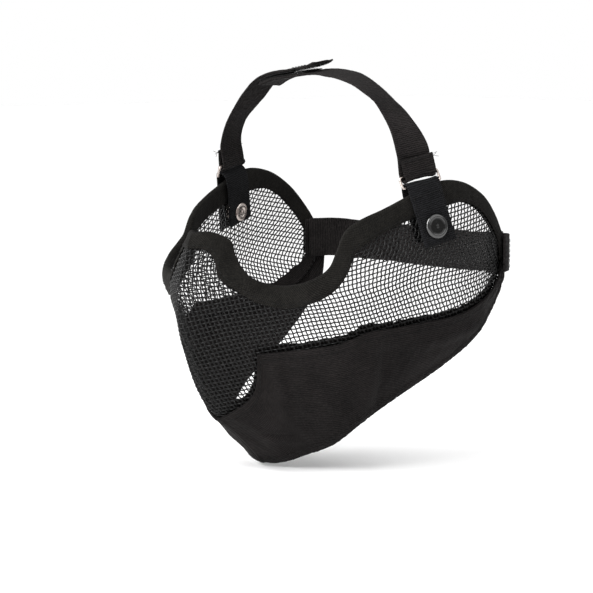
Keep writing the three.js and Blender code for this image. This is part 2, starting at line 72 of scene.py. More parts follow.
# Where the edge under the eye is tucked in: angle, height of the edge and depth
TUCK = np.array([
    [0, 16.5, 0], [3.6, 17.5, 1], [8, 12.5, 7.5], [10.5, 3, 9], [15.5, -7.5, 8.5], [22, -12.3, 8],
    [29, -12.5, 4], [36, -9, 0], [44, 8, 0],
])
TUCK_REACH = 8
TUCK_END = 40
TOP_EDGE = [
    [0, 16.5], [3.6, 17.5], [8, 12.5], [10.5, 3], [15.5, -7.5], [22, -12.3], [29, -12.5],
    [36.3, -8.7], [41, -2.5], [43.3, 7], [46.3, 19], [51.5, 25.3], [60, 31.3], [69.5, 38],
    [78, 43.8], [88, 47], [98.5, 44.3], [108, 35.5], [115.8, 21.5], [121, 7], [124.3, -8],
]
TAPE_EDGE = [
    [0, 8.5], [4, 8], [7.2, 2], [9.6, -8], [14.3, -15.5], [20.5, -22.3], [27.5, -24.5],
    [35.5, -21.5], [42.5, -14.5], [46.6, -4.5], [49.5, 7], [55.5, 15], [63, 21], [71.5, 26.5],
    [79.5, 31], [88, 34], [96.5, 34.5], [103.5, 30], [110, 20.5], [115, 9.5], [118.3, -3],
]
MESH_FOOT = [
    [0, -101], [3.5, -98.5], [6.5, -94.5], [9.5, -91], [12.5, -87], [17.5, -80], [23.5, -60],
    [33, -57], [40, -55], [45.5, -53], [52, -49], [59, -46.5], [66, -45.5], [72.5, -44.5],
    [80, -43], [88, -42], [96, -40], [103.5, -36.5], [110, -31.5], [115.5, -25], [120, -16],
]
NOTCH_EDGE = [
    [0, -94], [3.6, -91.3], [7.3, -87.5], [10.4, -83.8], [13.6, -77.5], [15.2, -71], [17.2, -53],
]
NOTCH_HEM = [
    [0, -124.5], [8, -124], [14, -122.5], [18, -121], [22, -119], [25, -117.5], [29, -115.8],
]
CHEEK_EDGE = [
    [17.2, -53], [24, -51.5], [31.1, -49.9], [39.8, -47.5], [45.5, -45], [53.8, -39.5],
    [65.4, -37.8], [77, -36], [88.7, -34.5], [99.7, -31], [108.5, -25], [114.5, -17.5],
    [117.8, -9.5], [118.3, -3.9],
]
CHEEK_HEM = [
    [29, -115.8], [34, -113.5], [40, -110], [45, -105], [51, -98.5], [58.5, -92], [68, -85],
    [79, -77.5], [90, -70.5], [100, -62.5], [110.5, -51.5], [118.5, -38], [123, -25], [124.5, -9],
]
TAPE_SEAM = 14                    # the station where the brow's tape meets the ear's
LAST = len(TOP_EDGE) - 1
FOLD_SCALE = 1.8                 # millimetres to a degree round the shell, for the folds
SEAM_SCALE = 1.9                 # and near the chin


def smooth(xs, ys, x):
    """Smooth curve through (xs, ys). Each knot's y is one number, or a row with one number per x."""
    xs = np.asarray(xs, float)
    ys = np.asarray(ys, float)
    x = np.asarray(x, float)
    last = len(xs) - 1
    before = np.maximum(np.arange(last + 1) - 1, 0)
    after = np.minimum(np.arange(last + 1) + 1, last)
    run = xs[after] - xs[before]
    slopes = (ys[after] - ys[before]) / (run if ys.ndim == 1 else run[:, None])
    i = np.clip(np.searchsorted(xs, x, side="right") - 1, 0, last - 1)
    pick = (lambda table, k: table[k]) if ys.ndim == 1 else (lambda table, k: table[k, np.arange(len(x))])
    span = xs[i + 1] - xs[i]
    t = np.clip((x - xs[i]) / span, 0, 1)
    rise = t * t * (3 - 2 * t)
    value = pick(ys, i) * (1 - rise) + pick(ys, i + 1) * rise
    value = value + span * t * (1 - t) * ((1 - t) * pick(slopes, i) - t * pick(slopes, i + 1))
    beyond = x - np.clip(x, xs[0], xs[-1])
    edge = np.where(beyond < 0, 0, last)
    return value + np.where(beyond == 0, 0, beyond * pick(slopes, edge))


def shell_radius(angle, height):
    """angle and height are flat arrays; the radius is the same on both sides."""
    angle = np.abs(angle)
    across = np.stack([smooth(ANGLES, radii, angle) for _, radii in SECTIONS])
    radius = smooth(HEIGHTS, across, height)
    depth = np.maximum(smooth(TUCK[:, 0], TUCK[:, 2], angle), 0)
    below = np.maximum(smooth(TUCK[:, 0], TUCK[:, 1], angle) - height, 0) / TUCK_REACH
    return radius - np.where(angle > TUCK_END, 0, depth * np.exp(-below * below))


def shell_point(angle, height):
    radius = shell_radius(angle, height)
    turn = np.radians(angle)
    return np.stack([radius * np.sin(turn), -radius * np.cos(turn), height], -1)


def unit(v):
    return v / np.maximum(np.linalg.norm(v, axis=-1, keepdims=True), 1e-12)


def lengths(points):
    """How far along a line each of its points is."""
    return np.concatenate([[0], np.cumsum(np.linalg.norm(np.diff(points, axis=0), axis=1))])


SLOPE_STEP = 1.5


def shell_normal(angle, height):
    around = shell_point(angle + SLOPE_STEP, height) - shell_point(angle - SLOPE_STEP, height)
    up = shell_point(angle, height + SLOPE_STEP) - shell_point(angle, height - SLOPE_STEP)
    return unit(np.cross(around, up))


def lift(angle, height, offset):
    """Points standing off the shell; angle, height and offset are arrays of one shape."""
    angle, height, offset = np.broadcast_arrays(angle, height, offset)
    shape = angle.shape
    angle, height, offset = (np.array(v, float).ravel() for v in (angle, height, offset))
    points = shell_point(angle, height) + shell_normal(angle, height) * offset[:, None]
    return points.reshape(shape + (3,))


class Curve:
    """Centripetal curve through points; a place on it is a share from 0 to 1, the same to each point."""

    def __init__(self, points):
        self.p = np.asarray(points, float)
        first = 2 * self.p[0] - self.p[1]
        end = 2 * self.p[-1] - self.p[-2]
        self.padded = np.vstack([first, self.p, end])

    def at(self, share):
        share = np.clip(np.asarray(share, float), 0, 1) * (len(self.p) - 1)
        i = np.minimum(share.astype(int), len(self.p) - 2)
        t = (share - i)[:, None]
        a, b, c, d = (self.padded[i + k] for k in range(4))
        gaps = [np.sqrt(np.linalg.norm(q - p, axis=-1, keepdims=True)) for p, q in ((a, b), (b, c), (c, d))]
        g1 = np.maximum(gaps[1], 1e-4)
        g0 = np.where(gaps[0] < 1e-4, g1, gaps[0])
        g2 = np.where(gaps[2] < 1e-4, g1, gaps[2])
        start = ((b - a) / g0 - (c - a) / (g0 + g1) + (c - b) / g1) * g1
        finish = ((c - b) / g1 - (d - b) / (g1 + g2) + (d - c) / g2) * g1
        c2 = -3 * b + 3 * c - 2 * start - finish
        c3 = 2 * b - 2 * c + start + finish
        return b + start * t + c2 * t * t + c3 * t * t * t

    def even(self, step):
        """Points about a step apart, and how far along each one is."""
        fine = self.at(np.linspace(0, 1, 60 * len(self.p)))
        along = lengths(fine)
        n = max(int(round(along[-1] / step)), 2)
        want = np.linspace(0, along[-1], n + 1)
        return np.stack([np.interp(want, along, fine[:, k]) for k in range(fine.shape[1])], 1), want


def edge_places(points, stations, sign=1.0):
    """Angles and heights on an edge; station k is the edge's k-th point."""
    place = Curve(points).at(np.asarray(stations, float) / (len(points) - 1))
    place[:, 0] *= sign
    return place


def between(edge, foot, share):
    """Angles and heights a share of the way from edge to foot: share is one number for each of their
    places, or a row of numbers."""
    start, run = edge.T, (foot - edge).T
    if np.ndim(share) == 2:
        start, run = start[..., None], run[..., None]
    return start + share * run


def strip_sizes(edge, foot):
    """Depth of a strip of the shell at each place on its edge, and how far along the edge that is."""
    line = shell_point(*edge.T)
    return np.linalg.norm(line - shell_point(*foot.T), axis=1), lengths(line)


# -------------------- building meshes


class Parts:
    """Collects closed sweeps into one piece. cloth holds (along, across) in millimetres for weaves."""

    def __init__(self):
        self.points, self.faces, self.cloth, self.count = [], [], [], 0

    def sweep(self, rings, cloth=None, closed=False):
        """rings: (n, k, 3) points. Each ring is a closed loop, joined to the next; the end ones are
        capped, or joined to each other if closed."""
        rings = np.asarray(rings, float)
        n, k = rings.shape[:2]
        i = np.arange(n if closed else n - 1)[:, None]
        j = np.arange(k)[None, :]
        a = i * k + j
        b = ((i + 1) % n) * k + j
        c = ((i + 1) % n) * k + (j + 1) % k
        d = i * k + (j + 1) % k
        quads = np.stack([a, d, c, b], -1).reshape(-1, 4) + self.count
        self.faces += quads.tolist()
        if not closed:
            self.faces.append((np.arange(k)[::-1] + self.count).tolist())
            self.faces.append((np.arange(k) + (n - 1) * k + self.count).tolist())
        points = rings.reshape(-1, 3)
        self.points.append(points)
        self.cloth.append(points[:, :2] if cloth is None else np.asarray(cloth, float).reshape(-1, 2))
        self.count += len(points)

    def lathe(self, profile, centre, axis, steps=64):
        """Round part: a closed outline of (radius, height) pairs, turned about an axis."""
        side = unit(np.cross(axis, [0.3, 0.1, 0.9]))
        turn = np.linspace(0, 2 * math.pi, steps, endpoint=False)
        around = np.cos(turn)[:, None] * side + np.sin(turn)[:, None] * np.cross(axis, side)
        self.sweep([np.asarray(centre) + r * around + h * axis for r, h in profile[::-1]], closed=True)

    def piece(self, name, body, material, slot, replaces=()):
        mesh = bpy.data.meshes.new(name)
        points = np.concatenate(self.points)
        mesh.from_pydata((points * MM).tolist(), [], self.faces)
        mesh.validate()
        attribute = mesh.attributes.new("cloth", "FLOAT_VECTOR", "POINT")
        flat = np.zeros((len(points), 3), np.float32)
        flat[:, :2] = np.concatenate(self.cloth)
        attribute.data.foreach_set("vector", flat.ravel())
        mesh.polygons.foreach_set("use_smooth", [True] * len(mesh.polygons))
        obj = bpy.data.objects.new(name, mesh)
        bpy.context.scene.collection.objects.link(obj)
        obj.data.materials.append(material)
        turn_out(obj)
        if replaces:
            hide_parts(*replaces)
        if body:
            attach(obj, body)
        return obj


def turn_out(obj):
    """Face a closed mesh outwards."""
    mesh = obj.data
    mesh.calc_loop_triangles()
    co = np.zeros(len(mesh.vertices) * 3)
    mesh.vertices.foreach_get("co", co)
    co = co.reshape(-1, 3)
    tris = np.zeros(len(mesh.loop_triangles) * 3, int)
    mesh.loop_triangles.foreach_get("vertices", tris)
    a, b, c = co[tris.reshape(-1, 3)].transpose(1, 0, 2)
    if np.einsum("ij,ij->i", a, np.cross(b, c)).sum() < 0:
        mesh.flip_normals()


def frames(points, across):
    """Tangent, side and normal at each point; across says which way the side lies."""
    tangent = unit(np.gradient(points, axis=0))
    side = unit(across - tangent * np.einsum("ij,ij->i", across, tangent)[:, None])
    return tangent, side, unit(np.cross(tangent, side))


def tube(parts, points, radius, sides, across):
    """Round wire through points; across is a direction that isn't along it, or one for each point."""
    points = np.asarray(points, float)
    _, side, normal = frames(points, np.broadcast_to(across, points.shape))
    turn = np.linspace(0, 2 * math.pi, sides, endpoint=False)
    ring = np.cos(turn)[None, :, None] * side[:, None] + np.sin(turn)[None, :, None] * normal[:, None]
    parts.sweep(points[:, None] + radius * ring)


def band_section(columns):
    """Once round a flat band with round edges: share of its flat half-width, then how far out on the
    round edge, and share of the half-thickness."""
    flat = np.linspace(-1, 1, columns)
    turn = np.radians([60, 30, 0, -30, -60])
    top = [(a, 0, 1) for a in flat]
    right = [(1, math.cos(t), math.sin(t)) for t in turn]
    bottom = [(a, 0, -1) for a in flat[::-1]]
    left = [(-1, -math.cos(t), -math.sin(t)) for t in turn]
    return np.array(top + right + bottom + left)


def cloth_places(along, across):
    """Rows of (along, across) for a weave, from one number along for each row."""
    return np.stack([np.broadcast_to(along[:, None], across.shape), across], -1)


def ribbon(parts, points, across, width, thick, step, columns, relief=None):
    """Flat band along a curve. relief(along, across, side) lifts its faces, side being 1 on the
    normal's side and -1 on the other. Returns the middle line, its frames and the lengths along it."""
    middle, along = Curve(points).even(step)
    side_hint = np.array([across(p) for p in middle])
    tangent, side, normal = frames(middle, side_hint)
    half = np.array([width(p) if callable(width) else width for p in middle])[:, None] / 2
    a, b, c = band_section(columns).T
    sideways = (half - thick / 2) * a + (thick / 2) * b
    out = np.broadcast_to(c * thick / 2, sideways.shape).copy()
    if relief is not None:
        out += np.sign(c) * (np.abs(c) > 0.9) * relief(along[:, None], sideways, np.sign(c)[None, :])
    rings = middle[:, None] + sideways[..., None] * side[:, None] + out[..., None] * normal[:, None]
    parts.sweep(rings, cloth_places(along, sideways))
    return middle, (tangent, side, normal), along


def slab(a, h, outer, inner, cloth):
    """Sheet of cloth between two offsets from the shell."""
    parts = Parts()
    rings = np.concatenate([lift(a, h, outer), lift(a, h, inner)[:, ::-1]], axis=1)
    parts.sweep(rings, np.concatenate([cloth, cloth[:, ::-1]], axis=1))
    return parts


STITCH_LENGTH = 2.3
STITCH_GAP = 0.8
STITCH_SINK = 0.25
STITCHES = {}                    # rows for each body: points, normals and the thread's radius


def stitch_row(parts, points, normals, radius):
    """A row of thread stitches laid on a line; each one dips into the cloth at both ends."""
    along = lengths(points)
    shares = np.array([0, 0.12, 0.35, 0.65, 0.88, 1.0])
    heights = np.array([-STITCH_SINK, 0.4 * radius, radius, radius, 0.4 * radius, -STITCH_SINK])
    pitch = STITCH_LENGTH + STITCH_GAP
    for k in range(int(along[-1] // pitch)):
        want = k * pitch + STITCH_GAP / 2 + shares * STITCH_LENGTH
        place = np.stack([np.interp(want, along, points[:, m]) for m in range(3)], 1)
        normal = unit(np.stack([np.interp(want, along, normals[:, m]) for m in range(3)], 1))
        tangent = unit(np.gradient(place, axis=0))
        tube(parts, place + normal * heights[:, None], radius, 5, np.cross(normal, tangent))


def sew(body, points, normals, radius=0.2):
    STITCHES.setdefault(body, []).append((points, normals, radius))


def sew_across(body, line, place, half, outward, rise):
    """A straight row of stitches across a ribbon, at a place along it, on the face that looks outward."""
    middle, (_, side, normal), along = line
    k = int(np.argmin(np.abs(along - place)))
    face = normal[k] * (1 if normal[k] @ outward > 0 else -1)
    sew(body, middle[k] + side[k] * [[-half], [half]] + face * rise, np.array([face, face]))


class Waves:
    """Repeatable smooth noise of two coordinates, made of a few sine waves, from -1 to 1 or so."""

    def __init__(self, seed, scale):
        draw = random.Random(seed)
        self.waves = []
        for _ in range(9):
            turn = draw.uniform(0, 2 * math.pi)
            size = scale * draw.uniform(0.6, 1.7)
            self.waves.append((math.cos(turn) / size, math.sin(turn) / size, draw.uniform(0, 6.3)))

    def __call__(self, x, y):
        total = sum(np.sin(2 * math.pi * (a * x + b * y) + c) for a, b, c in self.waves)
        return total / math.sqrt(len(self.waves))


def hump(x, middle, width):
    return np.exp(-((x - middle) / width) ** 2)


def ramp(x, low, high):
    t = np.clip((x - low) / (high - low), 0, 1)
    return t * t * (3 - 2 * t)


def quarter_round(rim, radius):
    """From 0 at a sheet's rim to 1 a radius inside it, as its rounded edge rises."""
    return np.sqrt(np.clip(1 - (1 - np.clip(rim / radius, 0, 1)) ** 2, 0, 1))


# -------------------- materials


class Nodes:
    """A material's nodes, added one call at a time. Sockets take numbers, colours or other nodes."""

    def __init__(self, name):
        self.material = bpy.data.materials.new(name)
        self.material.use_nodes = True
        self.tree = self.material.node_tree
        self.shader = self.tree.nodes["Principled BSDF"]

    def add(self, kind, output=0, settings=None, **inputs):
        node = self.tree.nodes.new("ShaderNode" + kind)
        for key, value in (settings or {}).items():
            setattr(node, key, value)
        for key, value in inputs.items():
            socket = node.inputs[int(key[1:])] if key[0] == "i" and key[1:].isdigit() else node.inputs[key]
            self.put(socket, value)
        return node.outputs[output]

    def put(self, socket, value):
        if isinstance(value, bpy.types.NodeSocket):
            self.tree.links.new(value, socket)
        else:
            socket.default_value = value

    def set(self, **inputs):
        for key, value in inputs.items():
            self.put(self.shader.inputs[key.replace("_", " ")], value)

    def cloth(self, along, across, turn=0.0):
        """The piece's own (along, across) millimetres, each multiplied by a number."""
        place = self.add("Attribute", 1, {"attribute_name": "cloth"})
        return self.add("Mapping", Vector=place, Scale=(along, across, 1.0), Rotation=(0, 0, turn))

    def place(self, scale):
        """Places in space, in the object's own metres, multiplied by a number."""
        where = self.add("TexCoord", 3)
        return self.add("Mapping", Vector=where, Scale=(scale, scale, scale))

    def noise(self, place, detail, roughness=0.5):
        return self.add("TexNoise", 0, None, Vector=place, Scale=1.0, Detail=detail, Roughness=roughness)

    def math(self, operation, a, b=0.0):
        return self.add("Math", 0, {"operation": operation}, i0=a, i1=b)

    def total(self, *terms):
        """Sum of (value, weight) pairs."""
        result = 0.0
        for value, weight in terms:
            result = self.add("Math", 0, {"operation": "MULTIPLY_ADD"}, i0=value, i1=weight, i2=result)
        return result

    def mix(self, share, a, b):
        return self.add("Mix", 2, {"data_type": "RGBA"}, i0=share, i6=a, i7=b)

    def ramp(self, value, low, high, to_low=0.0, to_high=1.0):
        return self.add("MapRange", 0, None, i0=value, i1=low, i2=high, i3=to_low, i4=to_high)

    def bump(self, height, strength, distance):
        return self.add("Bump", 0, None, Height=height, Strength=strength, Distance=distance)


def grey(value, tint=(1.0, 1.0, 1.0)):
    return (value * tint[0], value * tint[1], value * tint[2], 1.0)


def woven(name, dark, light, pitch, ribs, sheen, tint, fuzz, rough=0.85, depth=0.0004):
    """Cloth with yarns at the given (along, across) pitches in millimetres. ribs says which yarns stand
    out: those that repeat "along" the piece, those that repeat "across" it, or "both" alike."""
    n = Nodes(name)
    stray = n.noise(n.cloth(0.5, 0.5), 2.0)
    split = n.tree.nodes.new("ShaderNodeSeparateXYZ")
    n.put(split.inputs[0], n.cloth(1.0 / pitch[0], 1.0 / pitch[1]))
    turns = [n.math("MULTIPLY", n.math("ADD", split.outputs[k], stray), 2 * math.pi) for k in (0, 1)]
    warp, weft = (n.math("SINE", turn) for turn in turns)
    yarn = n.math("MULTIPLY", warp, weft)
    if ribs != "both":
        yarn = n.total((warp if ribs == "along" else weft, 0.7), (yarn, 0.3))
    yarn = n.ramp(yarn, -1.0, 1.0)
    grain = n.noise(n.cloth(1.1, 1.1), 5.0, 0.7)
    lumps = n.noise(n.cloth(0.42, 0.42), 3.0, 0.6)
    mottle = n.noise(n.place(45.0), 3.0, 0.55)
    hair = n.ramp(n.noise(n.cloth(0.35, 2.6, 0.4), 6.0, 0.7), 0.58, 0.78)
    tone = n.total((grain, 0.6), (yarn, 0.34), (mottle, 0.3), (lumps, 0.3), (hair, fuzz * 0.6))
    colour = n.mix(n.ramp(tone, 0.64, 1.00), grey(dark, tint), grey(light, tint))
    height = n.total((yarn, 0.8), (grain, 0.5), (lumps, 0.5))
    n.set(Base_Color=colour, Roughness=n.ramp(grain, 0.3, 0.7, rough - 0.08, rough + 0.08),
          Normal=n.bump(height, 0.9, depth), Sheen_Weight=sheen, Sheen_Roughness=0.4,
          Sheen_Tint=(0.80, 0.78, 0.80, 1.0), Specular_IOR_Level=0.09)
    return n.material


def coated_wire():
    """Black coated steel, a little worn and dusty."""
    n = Nodes("coated_wire")
    fine = n.noise(n.place(900.0), 4.0, 0.6)
    broad = n.noise(n.place(45.0), 3.0)
    worn = n.math("MULTIPLY", n.ramp(fine, 0.60, 0.76), n.ramp(broad, 0.42, 0.66))
    colour = n.mix(worn, grey(0.0035, (1.0, 0.98, 0.98)), grey(0.035, (1.0, 0.96, 0.92)))
    n.set(Base_Color=colour, Roughness=n.ramp(fine, 0.3, 0.7, 0.30, 0.46),
          Normal=n.bump(fine, 0.35, 0.00008), Specular_IOR_Level=0.26)
    return n.material


def nickel():
    """Nickel-plated wire and stampings, with a warm cast and fine scratches."""
    n = Nodes("nickel")
    tarnish = n.noise(n.place(260.0), 4.0, 0.6)
    scratch = n.noise(n.place(1500.0), 3.0, 0.7)
    colour = n.mix(n.ramp(tarnish, 0.4, 0.7), (0.62, 0.56, 0.52, 1.0), (0.42, 0.34, 0.31, 1.0))
    n.set(Base_Color=colour, Metallic=1.0, Roughness=n.ramp(tarnish, 0.3, 0.75, 0.16, 0.38),
          Normal=n.bump(scratch, 0.12, 0.00005))
    return n.material


def black_enamel(name, ior):
    """Glossy black finish with faint orange peel and a little dust."""
    n = Nodes(name)
    peel = n.noise(n.place(420.0), 2.0)
    dust = n.noise(n.place(2600.0), 3.0, 0.6)
    colour = n.mix(n.ramp(dust, 0.62, 0.8), grey(0.003, (1.0, 0.98, 0.9)), grey(0.03))
    n.set(Base_Color=colour, Roughness=n.ramp(peel, 0.3, 0.7, 0.05, 0.13), Normal=n.bump(peel, 0.08, 0.0002),
          Specular_IOR_Level=0.5, IOR=ior)
    return n.material


def fuzzy(name, value):
    """Hook or loop fastener: dull, mottled, with tiny tufts."""
    n = Nodes(name)
    tuft = n.add("TexVoronoi", 0, None, Vector=n.cloth(1.6, 1.6), Scale=1.0, Randomness=0.8)
    grain = n.noise(n.cloth(2.3, 2.3), 5.0, 0.7)
    colour = n.mix(n.ramp(grain, 0.35, 0.7), grey(value * 0.6), grey(value * 1.9))
    n.set(Base_Color=colour, Roughness=0.9, Normal=n.bump(n.math("ADD", tuft, grain), 0.8, 0.00025),
          Sheen_Weight=0.05, Sheen_Roughness=0.5, Specular_IOR_Level=0.1)
    return n.material


def thread():
    """Twisted polyester thread."""
    n = Nodes("thread")
    twist = n.add("TexWave", 0, None, Vector=n.place(900.0), Scale=1.0, Distortion=2.0, Detail=2.0)
    colour = n.mix(twist, grey(0.002), grey(0.010))
    n.set(Base_Color=colour, Roughness=0.7, Normal=n.bump(twist, 0.4, 0.00006), Sheen_Weight=0.03,
          Specular_IOR_Level=0.15)
    return n.material


WIRE = coated_wire()
TAPE_CLOTH = woven("binding_tape", 0.0015, 0.018, (1.3, 1.3), "both", 0.02, (1.06, 0.98, 0.86), 0.8)
NYLON = woven("cover_nylon", 0.0014, 0.0165, (3.0, 1.25), "across", 0.012, (1.12, 0.95, 0.93), 0.3,
              0.78, 0.0003)
TAB_WEBBING = woven("tab_webbing", 0.0012, 0.018, (1.2, 1.0), "along", 0.018, (0.96, 0.98, 1.08), 0.5, 0.84)
ELASTIC = woven("elastic", 0.002, 0.024, (1.2, 1.1), "along", 0.03, (1.10, 0.96, 0.94), 0.9, 0.88, 0.0005)
HOOK = fuzzy("hook_tape", 0.006)
LOOP = fuzzy("loop_tape", 0.008)
NICKEL = nickel()
ENAMEL = black_enamel("black_enamel", 1.45)
ENAMEL_RIM = black_enamel("polished_rim", 1.9)
THREAD = thread()


# -------------------- the woven mesh

PITCH = 2.7                      # between wires
WIRE_RADIUS = 0.42
WAVE = 0.42                      # how far a wire swings off the middle at a crossing
NET_TURN = math.radians(11)      # the cloth of wire was cut a little askew
SAMPLES = 4                      # along a wire, per crossing
EAR_ANGLE = 79.0                 # where the ear cup's piece of mesh takes over
NET_STEP = 0.5                   # degrees between the places where the flattened shell is worked out
NET_HEIGHT = -25                 # the level that the net is laid out from
WAVINESS = 0.55
NET_TUCK = 0.42                  # share of the tape's depth at which the net ends
SHORTEST = 5                     # samples in the shortest wire that is kept


class Net:
    """Flattens the shell: s runs round it from the nose, t up it from NET_HEIGHT."""

    def __init__(self):
        self.angles = np.arange(-128, 128.01, NET_STEP)
        self.heights = np.arange(-128, 56.01, 1.0)
        a, h = np.meshgrid(self.angles, self.heights, indexing="ij")
        p = shell_point(a.ravel(), h.ravel()).reshape(a.shape + (3,))
        s = np.zeros(a.shape)
        s[1:] = np.cumsum(np.linalg.norm(np.diff(p, axis=0), axis=-1), axis=0)
        s -= s[len(self.angles) // 2]
        t = np.zeros(a.shape)
        t[:, 1:] = np.cumsum(np.linalg.norm(np.diff(p, axis=1), axis=-1), axis=1)
        t -= t[:, [int(NET_HEIGHT - self.heights[0])]]
        slopes = [np.gradient(v, axis=k) / step for v in (s, t) for k, step in ((0, NET_STEP), (1, 1.0))]
        self.tables = [s, t] + slopes
        self.bend_s = Waves(3, 62)
        self.bend_t = Waves(4, 58)

    def read(self, a, h):
        """s, t and their slopes at angles and heights."""
        x = np.clip((a - self.angles[0]) / NET_STEP, 0, len(self.angles) - 1.001)
        y = np.clip(h - self.heights[0], 0, len(self.heights) - 1.001)
        i, j = x.astype(int), y.astype(int)
        fx, fy = x - i, y - j
        return [
            (v[i, j] * (1 - fx) + v[i + 1, j] * fx) * (1 - fy)
            + (v[i, j + 1] * (1 - fx) + v[i + 1, j + 1] * fx) * fy
            for v in self.tables
        ]

    def places(self, s, t):
        """Angle and height of net places, with the slight waviness of hand-formed mesh."""
        s = s + WAVINESS * self.bend_s(s, t)
        t = t + WAVINESS * self.bend_t(s, t)
        a, h = s / SEAM_SCALE, t + NET_HEIGHT
        for _ in range(10):
            s0, t0, sa, sh, ta, th = self.read(a, h)
            es, et = s - s0, t - t0
            det = sa * th - sh * ta
            a = np.clip(a + np.clip((es * th - sh * et) / det, -8, 8), -128, 128)
            h = np.clip(h + np.clip((sa * et - ta * es) / det, -12, 12), -128, 56)
        return a, h, np.hypot(s - s0, t - t0) < 0.05


def inside(a, h, polygon):
    """Which places lie inside a polygon of angles and heights."""
    found = np.zeros(a.shape, bool)
    for (xa, ya), (xb, yb) in zip(polygon, np.roll(polygon, -1, axis=0)):
        if ya == yb:
            continue
        crosses = (ya > h) != (yb > h)
        found ^= crosses & (a < (xb - xa) * (h - ya) / (yb - ya) + xa)
    return found


def mesh_outline():
    """Edge of the wire net on one side, under the tape and the cover."""
    stations = np.linspace(0, LAST, 161)
    top = edge_places(TOP_EDGE, stations)
    tape = edge_places(TAPE_EDGE, stations)
    foot = edge_places(MESH_FOOT, stations)
    upper = top + NET_TUCK * (tape - top)
    upper[0, 0] = foot[0, 0] = -1.0
    return np.vstack([upper, foot[::-1]])


def weave():
    """Plain weave of wires over the whole shell, kept where the mask has net, as tubes."""
    net = Net()
    border = mesh_outline()
    cuts = np.array([-EAR_ANGLE, 0.0, EAR_ANGLE])
    pieces = [Parts() for _ in range(4)]
    cos, sin = math.cos(NET_TURN), math.sin(NET_TURN)
    fine = PITCH / SAMPLES
    spans = {"row": (95, 460), "column": (125, 300)}   # wires either side of the middle, samples either side
    for family, (wires, samples) in spans.items():
        line = np.arange(-wires, wires + 1)[:, None]
        sample = np.arange(-samples, samples + 1)[None, :]
        along, over = np.broadcast_arrays(sample * fine, line * PITCH)
        u, v = (along, over) if family == "row" else (over, along)
        s, t = u * cos - v * sin, u * sin + v * cos
        a, h, good = net.places(s.ravel(), t.ravel())
        keep = (good & inside(np.abs(a), h, border)).reshape(s.shape)
        a, h = a.reshape(s.shape), h.reshape(s.shape)
        way = 1.0 if family == "row" else -1.0
        swing = way * WAVE * np.cos(math.pi * (along / PITCH + line))
        for k in range(len(line)):
            marks = np.flatnonzero(np.diff(np.concatenate([[0], keep[k].astype(int), [0]])))
            for start, stop in zip(marks[::2], marks[1::2]):
                if stop - start < SHORTEST:
                    continue
                run = slice(start, stop)
                middle = lift(a[k, run], h[k, run], swing[k, run])
                normal = shell_normal(a[k, run], h[k, run])
                zone = np.searchsorted(cuts, a[k, run])
                breaks = [0, *(np.flatnonzero(np.diff(zone)) + 1), stop - start - 1]
                for first, final in zip(breaks[:-1], breaks[1:]):
                    if final - first < 1:
                        continue
                    part = slice(first, final + 1)
                    tube(pieces[zone[first]], middle[part], WIRE_RADIUS, 6, normal[part])
    names = ("ear_net_right", "face_net_right", "face_net_left", "ear_net_left")
    nodes = (["ear_mesh_right"], ["face_mesh"], ["face_mesh"], ["ear_mesh_left"])
    for name, node, parts in zip(names, nodes, pieces):
        parts.piece(name, "mask", WIRE, "mesh_steel", node)


# -------------------- the binding tape

TAPE_MIDDLE = 1.60               # of each leaf, off the mesh's middle
TAPE_THICK = 0.95
FOLD_CENTRE = 1.15               # below the mesh's edge
TAPE_STITCHES = 0.86             # share of the way down the leaf


def tape_section():
    """Once round the folded tape: share of the leaf, millimetres further down it, and offset."""
    half = TAPE_THICK / 2
    out, near = TAPE_MIDDLE + half, TAPE_MIDDLE - half
    ends = np.radians([-90, -45, 0, 45, 90])
    leaf = np.linspace(1, 0, 10)
    rows = [(1, half * math.cos(t), TAPE_MIDDLE + half * math.sin(t)) for t in ends]
    rows += [(w, 0, out) for w in leaf[1:]]
    rows += [(0, -out * math.sin(t), out * math.cos(t)) for t in np.radians(np.arange(20, 170, 20))]
    rows += [(w, 0, -out) for w in leaf[::-1][:-1]]
    rows += [(1, half * math.cos(t), -TAPE_MIDDLE - half * math.sin(t)) for t in ends[::-1]]
    rows += [(w, 0, -near) for w in leaf[1::2]]
    rows += [(0, -near * math.sin(t), near * math.cos(t)) for t in np.radians([150, 120, 90, 60, 30])]
    rows += [(w, 0, near) for w in leaf[::-1][1:-1:2]]
    return np.array(rows)


def tape_relief(along, share, seed):
    """Small puckers where the tape is eased round the curves, and a soft swell over each leaf."""
    small = Waves(seed, 6.0)
    broad = Waves(seed + 1, 24.0)
    pucker = 0.17 * small(along, share * 5) * (0.25 + 0.75 * share)
    swell = 0.16 * broad(along, share * 9) + 0.22 * np.sin(math.pi * np.clip(share, 0, 1))
    return pucker + swell - 0.30 * ramp(share, 0.80, 1.0)


def rim_tape(name, stations, nodes, seed):
    """Tape folded over the net's edge, with one row of stitches near the foot of its outer leaf."""
    sign = np.where(stations < 0, -1.0, 1.0)
    top = edge_places(TOP_EDGE, np.abs(stations), sign)
    foot = edge_places(TAPE_EDGE, np.abs(stations), sign)
    leaf, along = strip_sizes(top, foot)
    share, further, offset = tape_section().T
    down = share * (leaf[:, None] - FOLD_CENTRE) + FOLD_CENTRE + further
    outside = offset > 0
    relief = tape_relief(along[:, None], share[None, :], seed)
    out = offset + np.where(outside, 1, -0.5) * relief * (np.abs(offset) > 1.0)
    parts = Parts()
    rings = lift(*between(top, foot, down / leaf[:, None]), out)
    parts.sweep(rings, cloth_places(along, np.where(outside, down, -down)))
    parts.piece(name, "mask", TAPE_CLOTH, "binding", nodes)
    row = between(top, foot, TAPE_STITCHES)
    face = TAPE_MIDDLE + TAPE_THICK / 2 + tape_relief(along, TAPE_STITCHES, seed)
    sew("mask", lift(*row, face), shell_normal(*row), 0.17)


# -------------------- the jaw cover

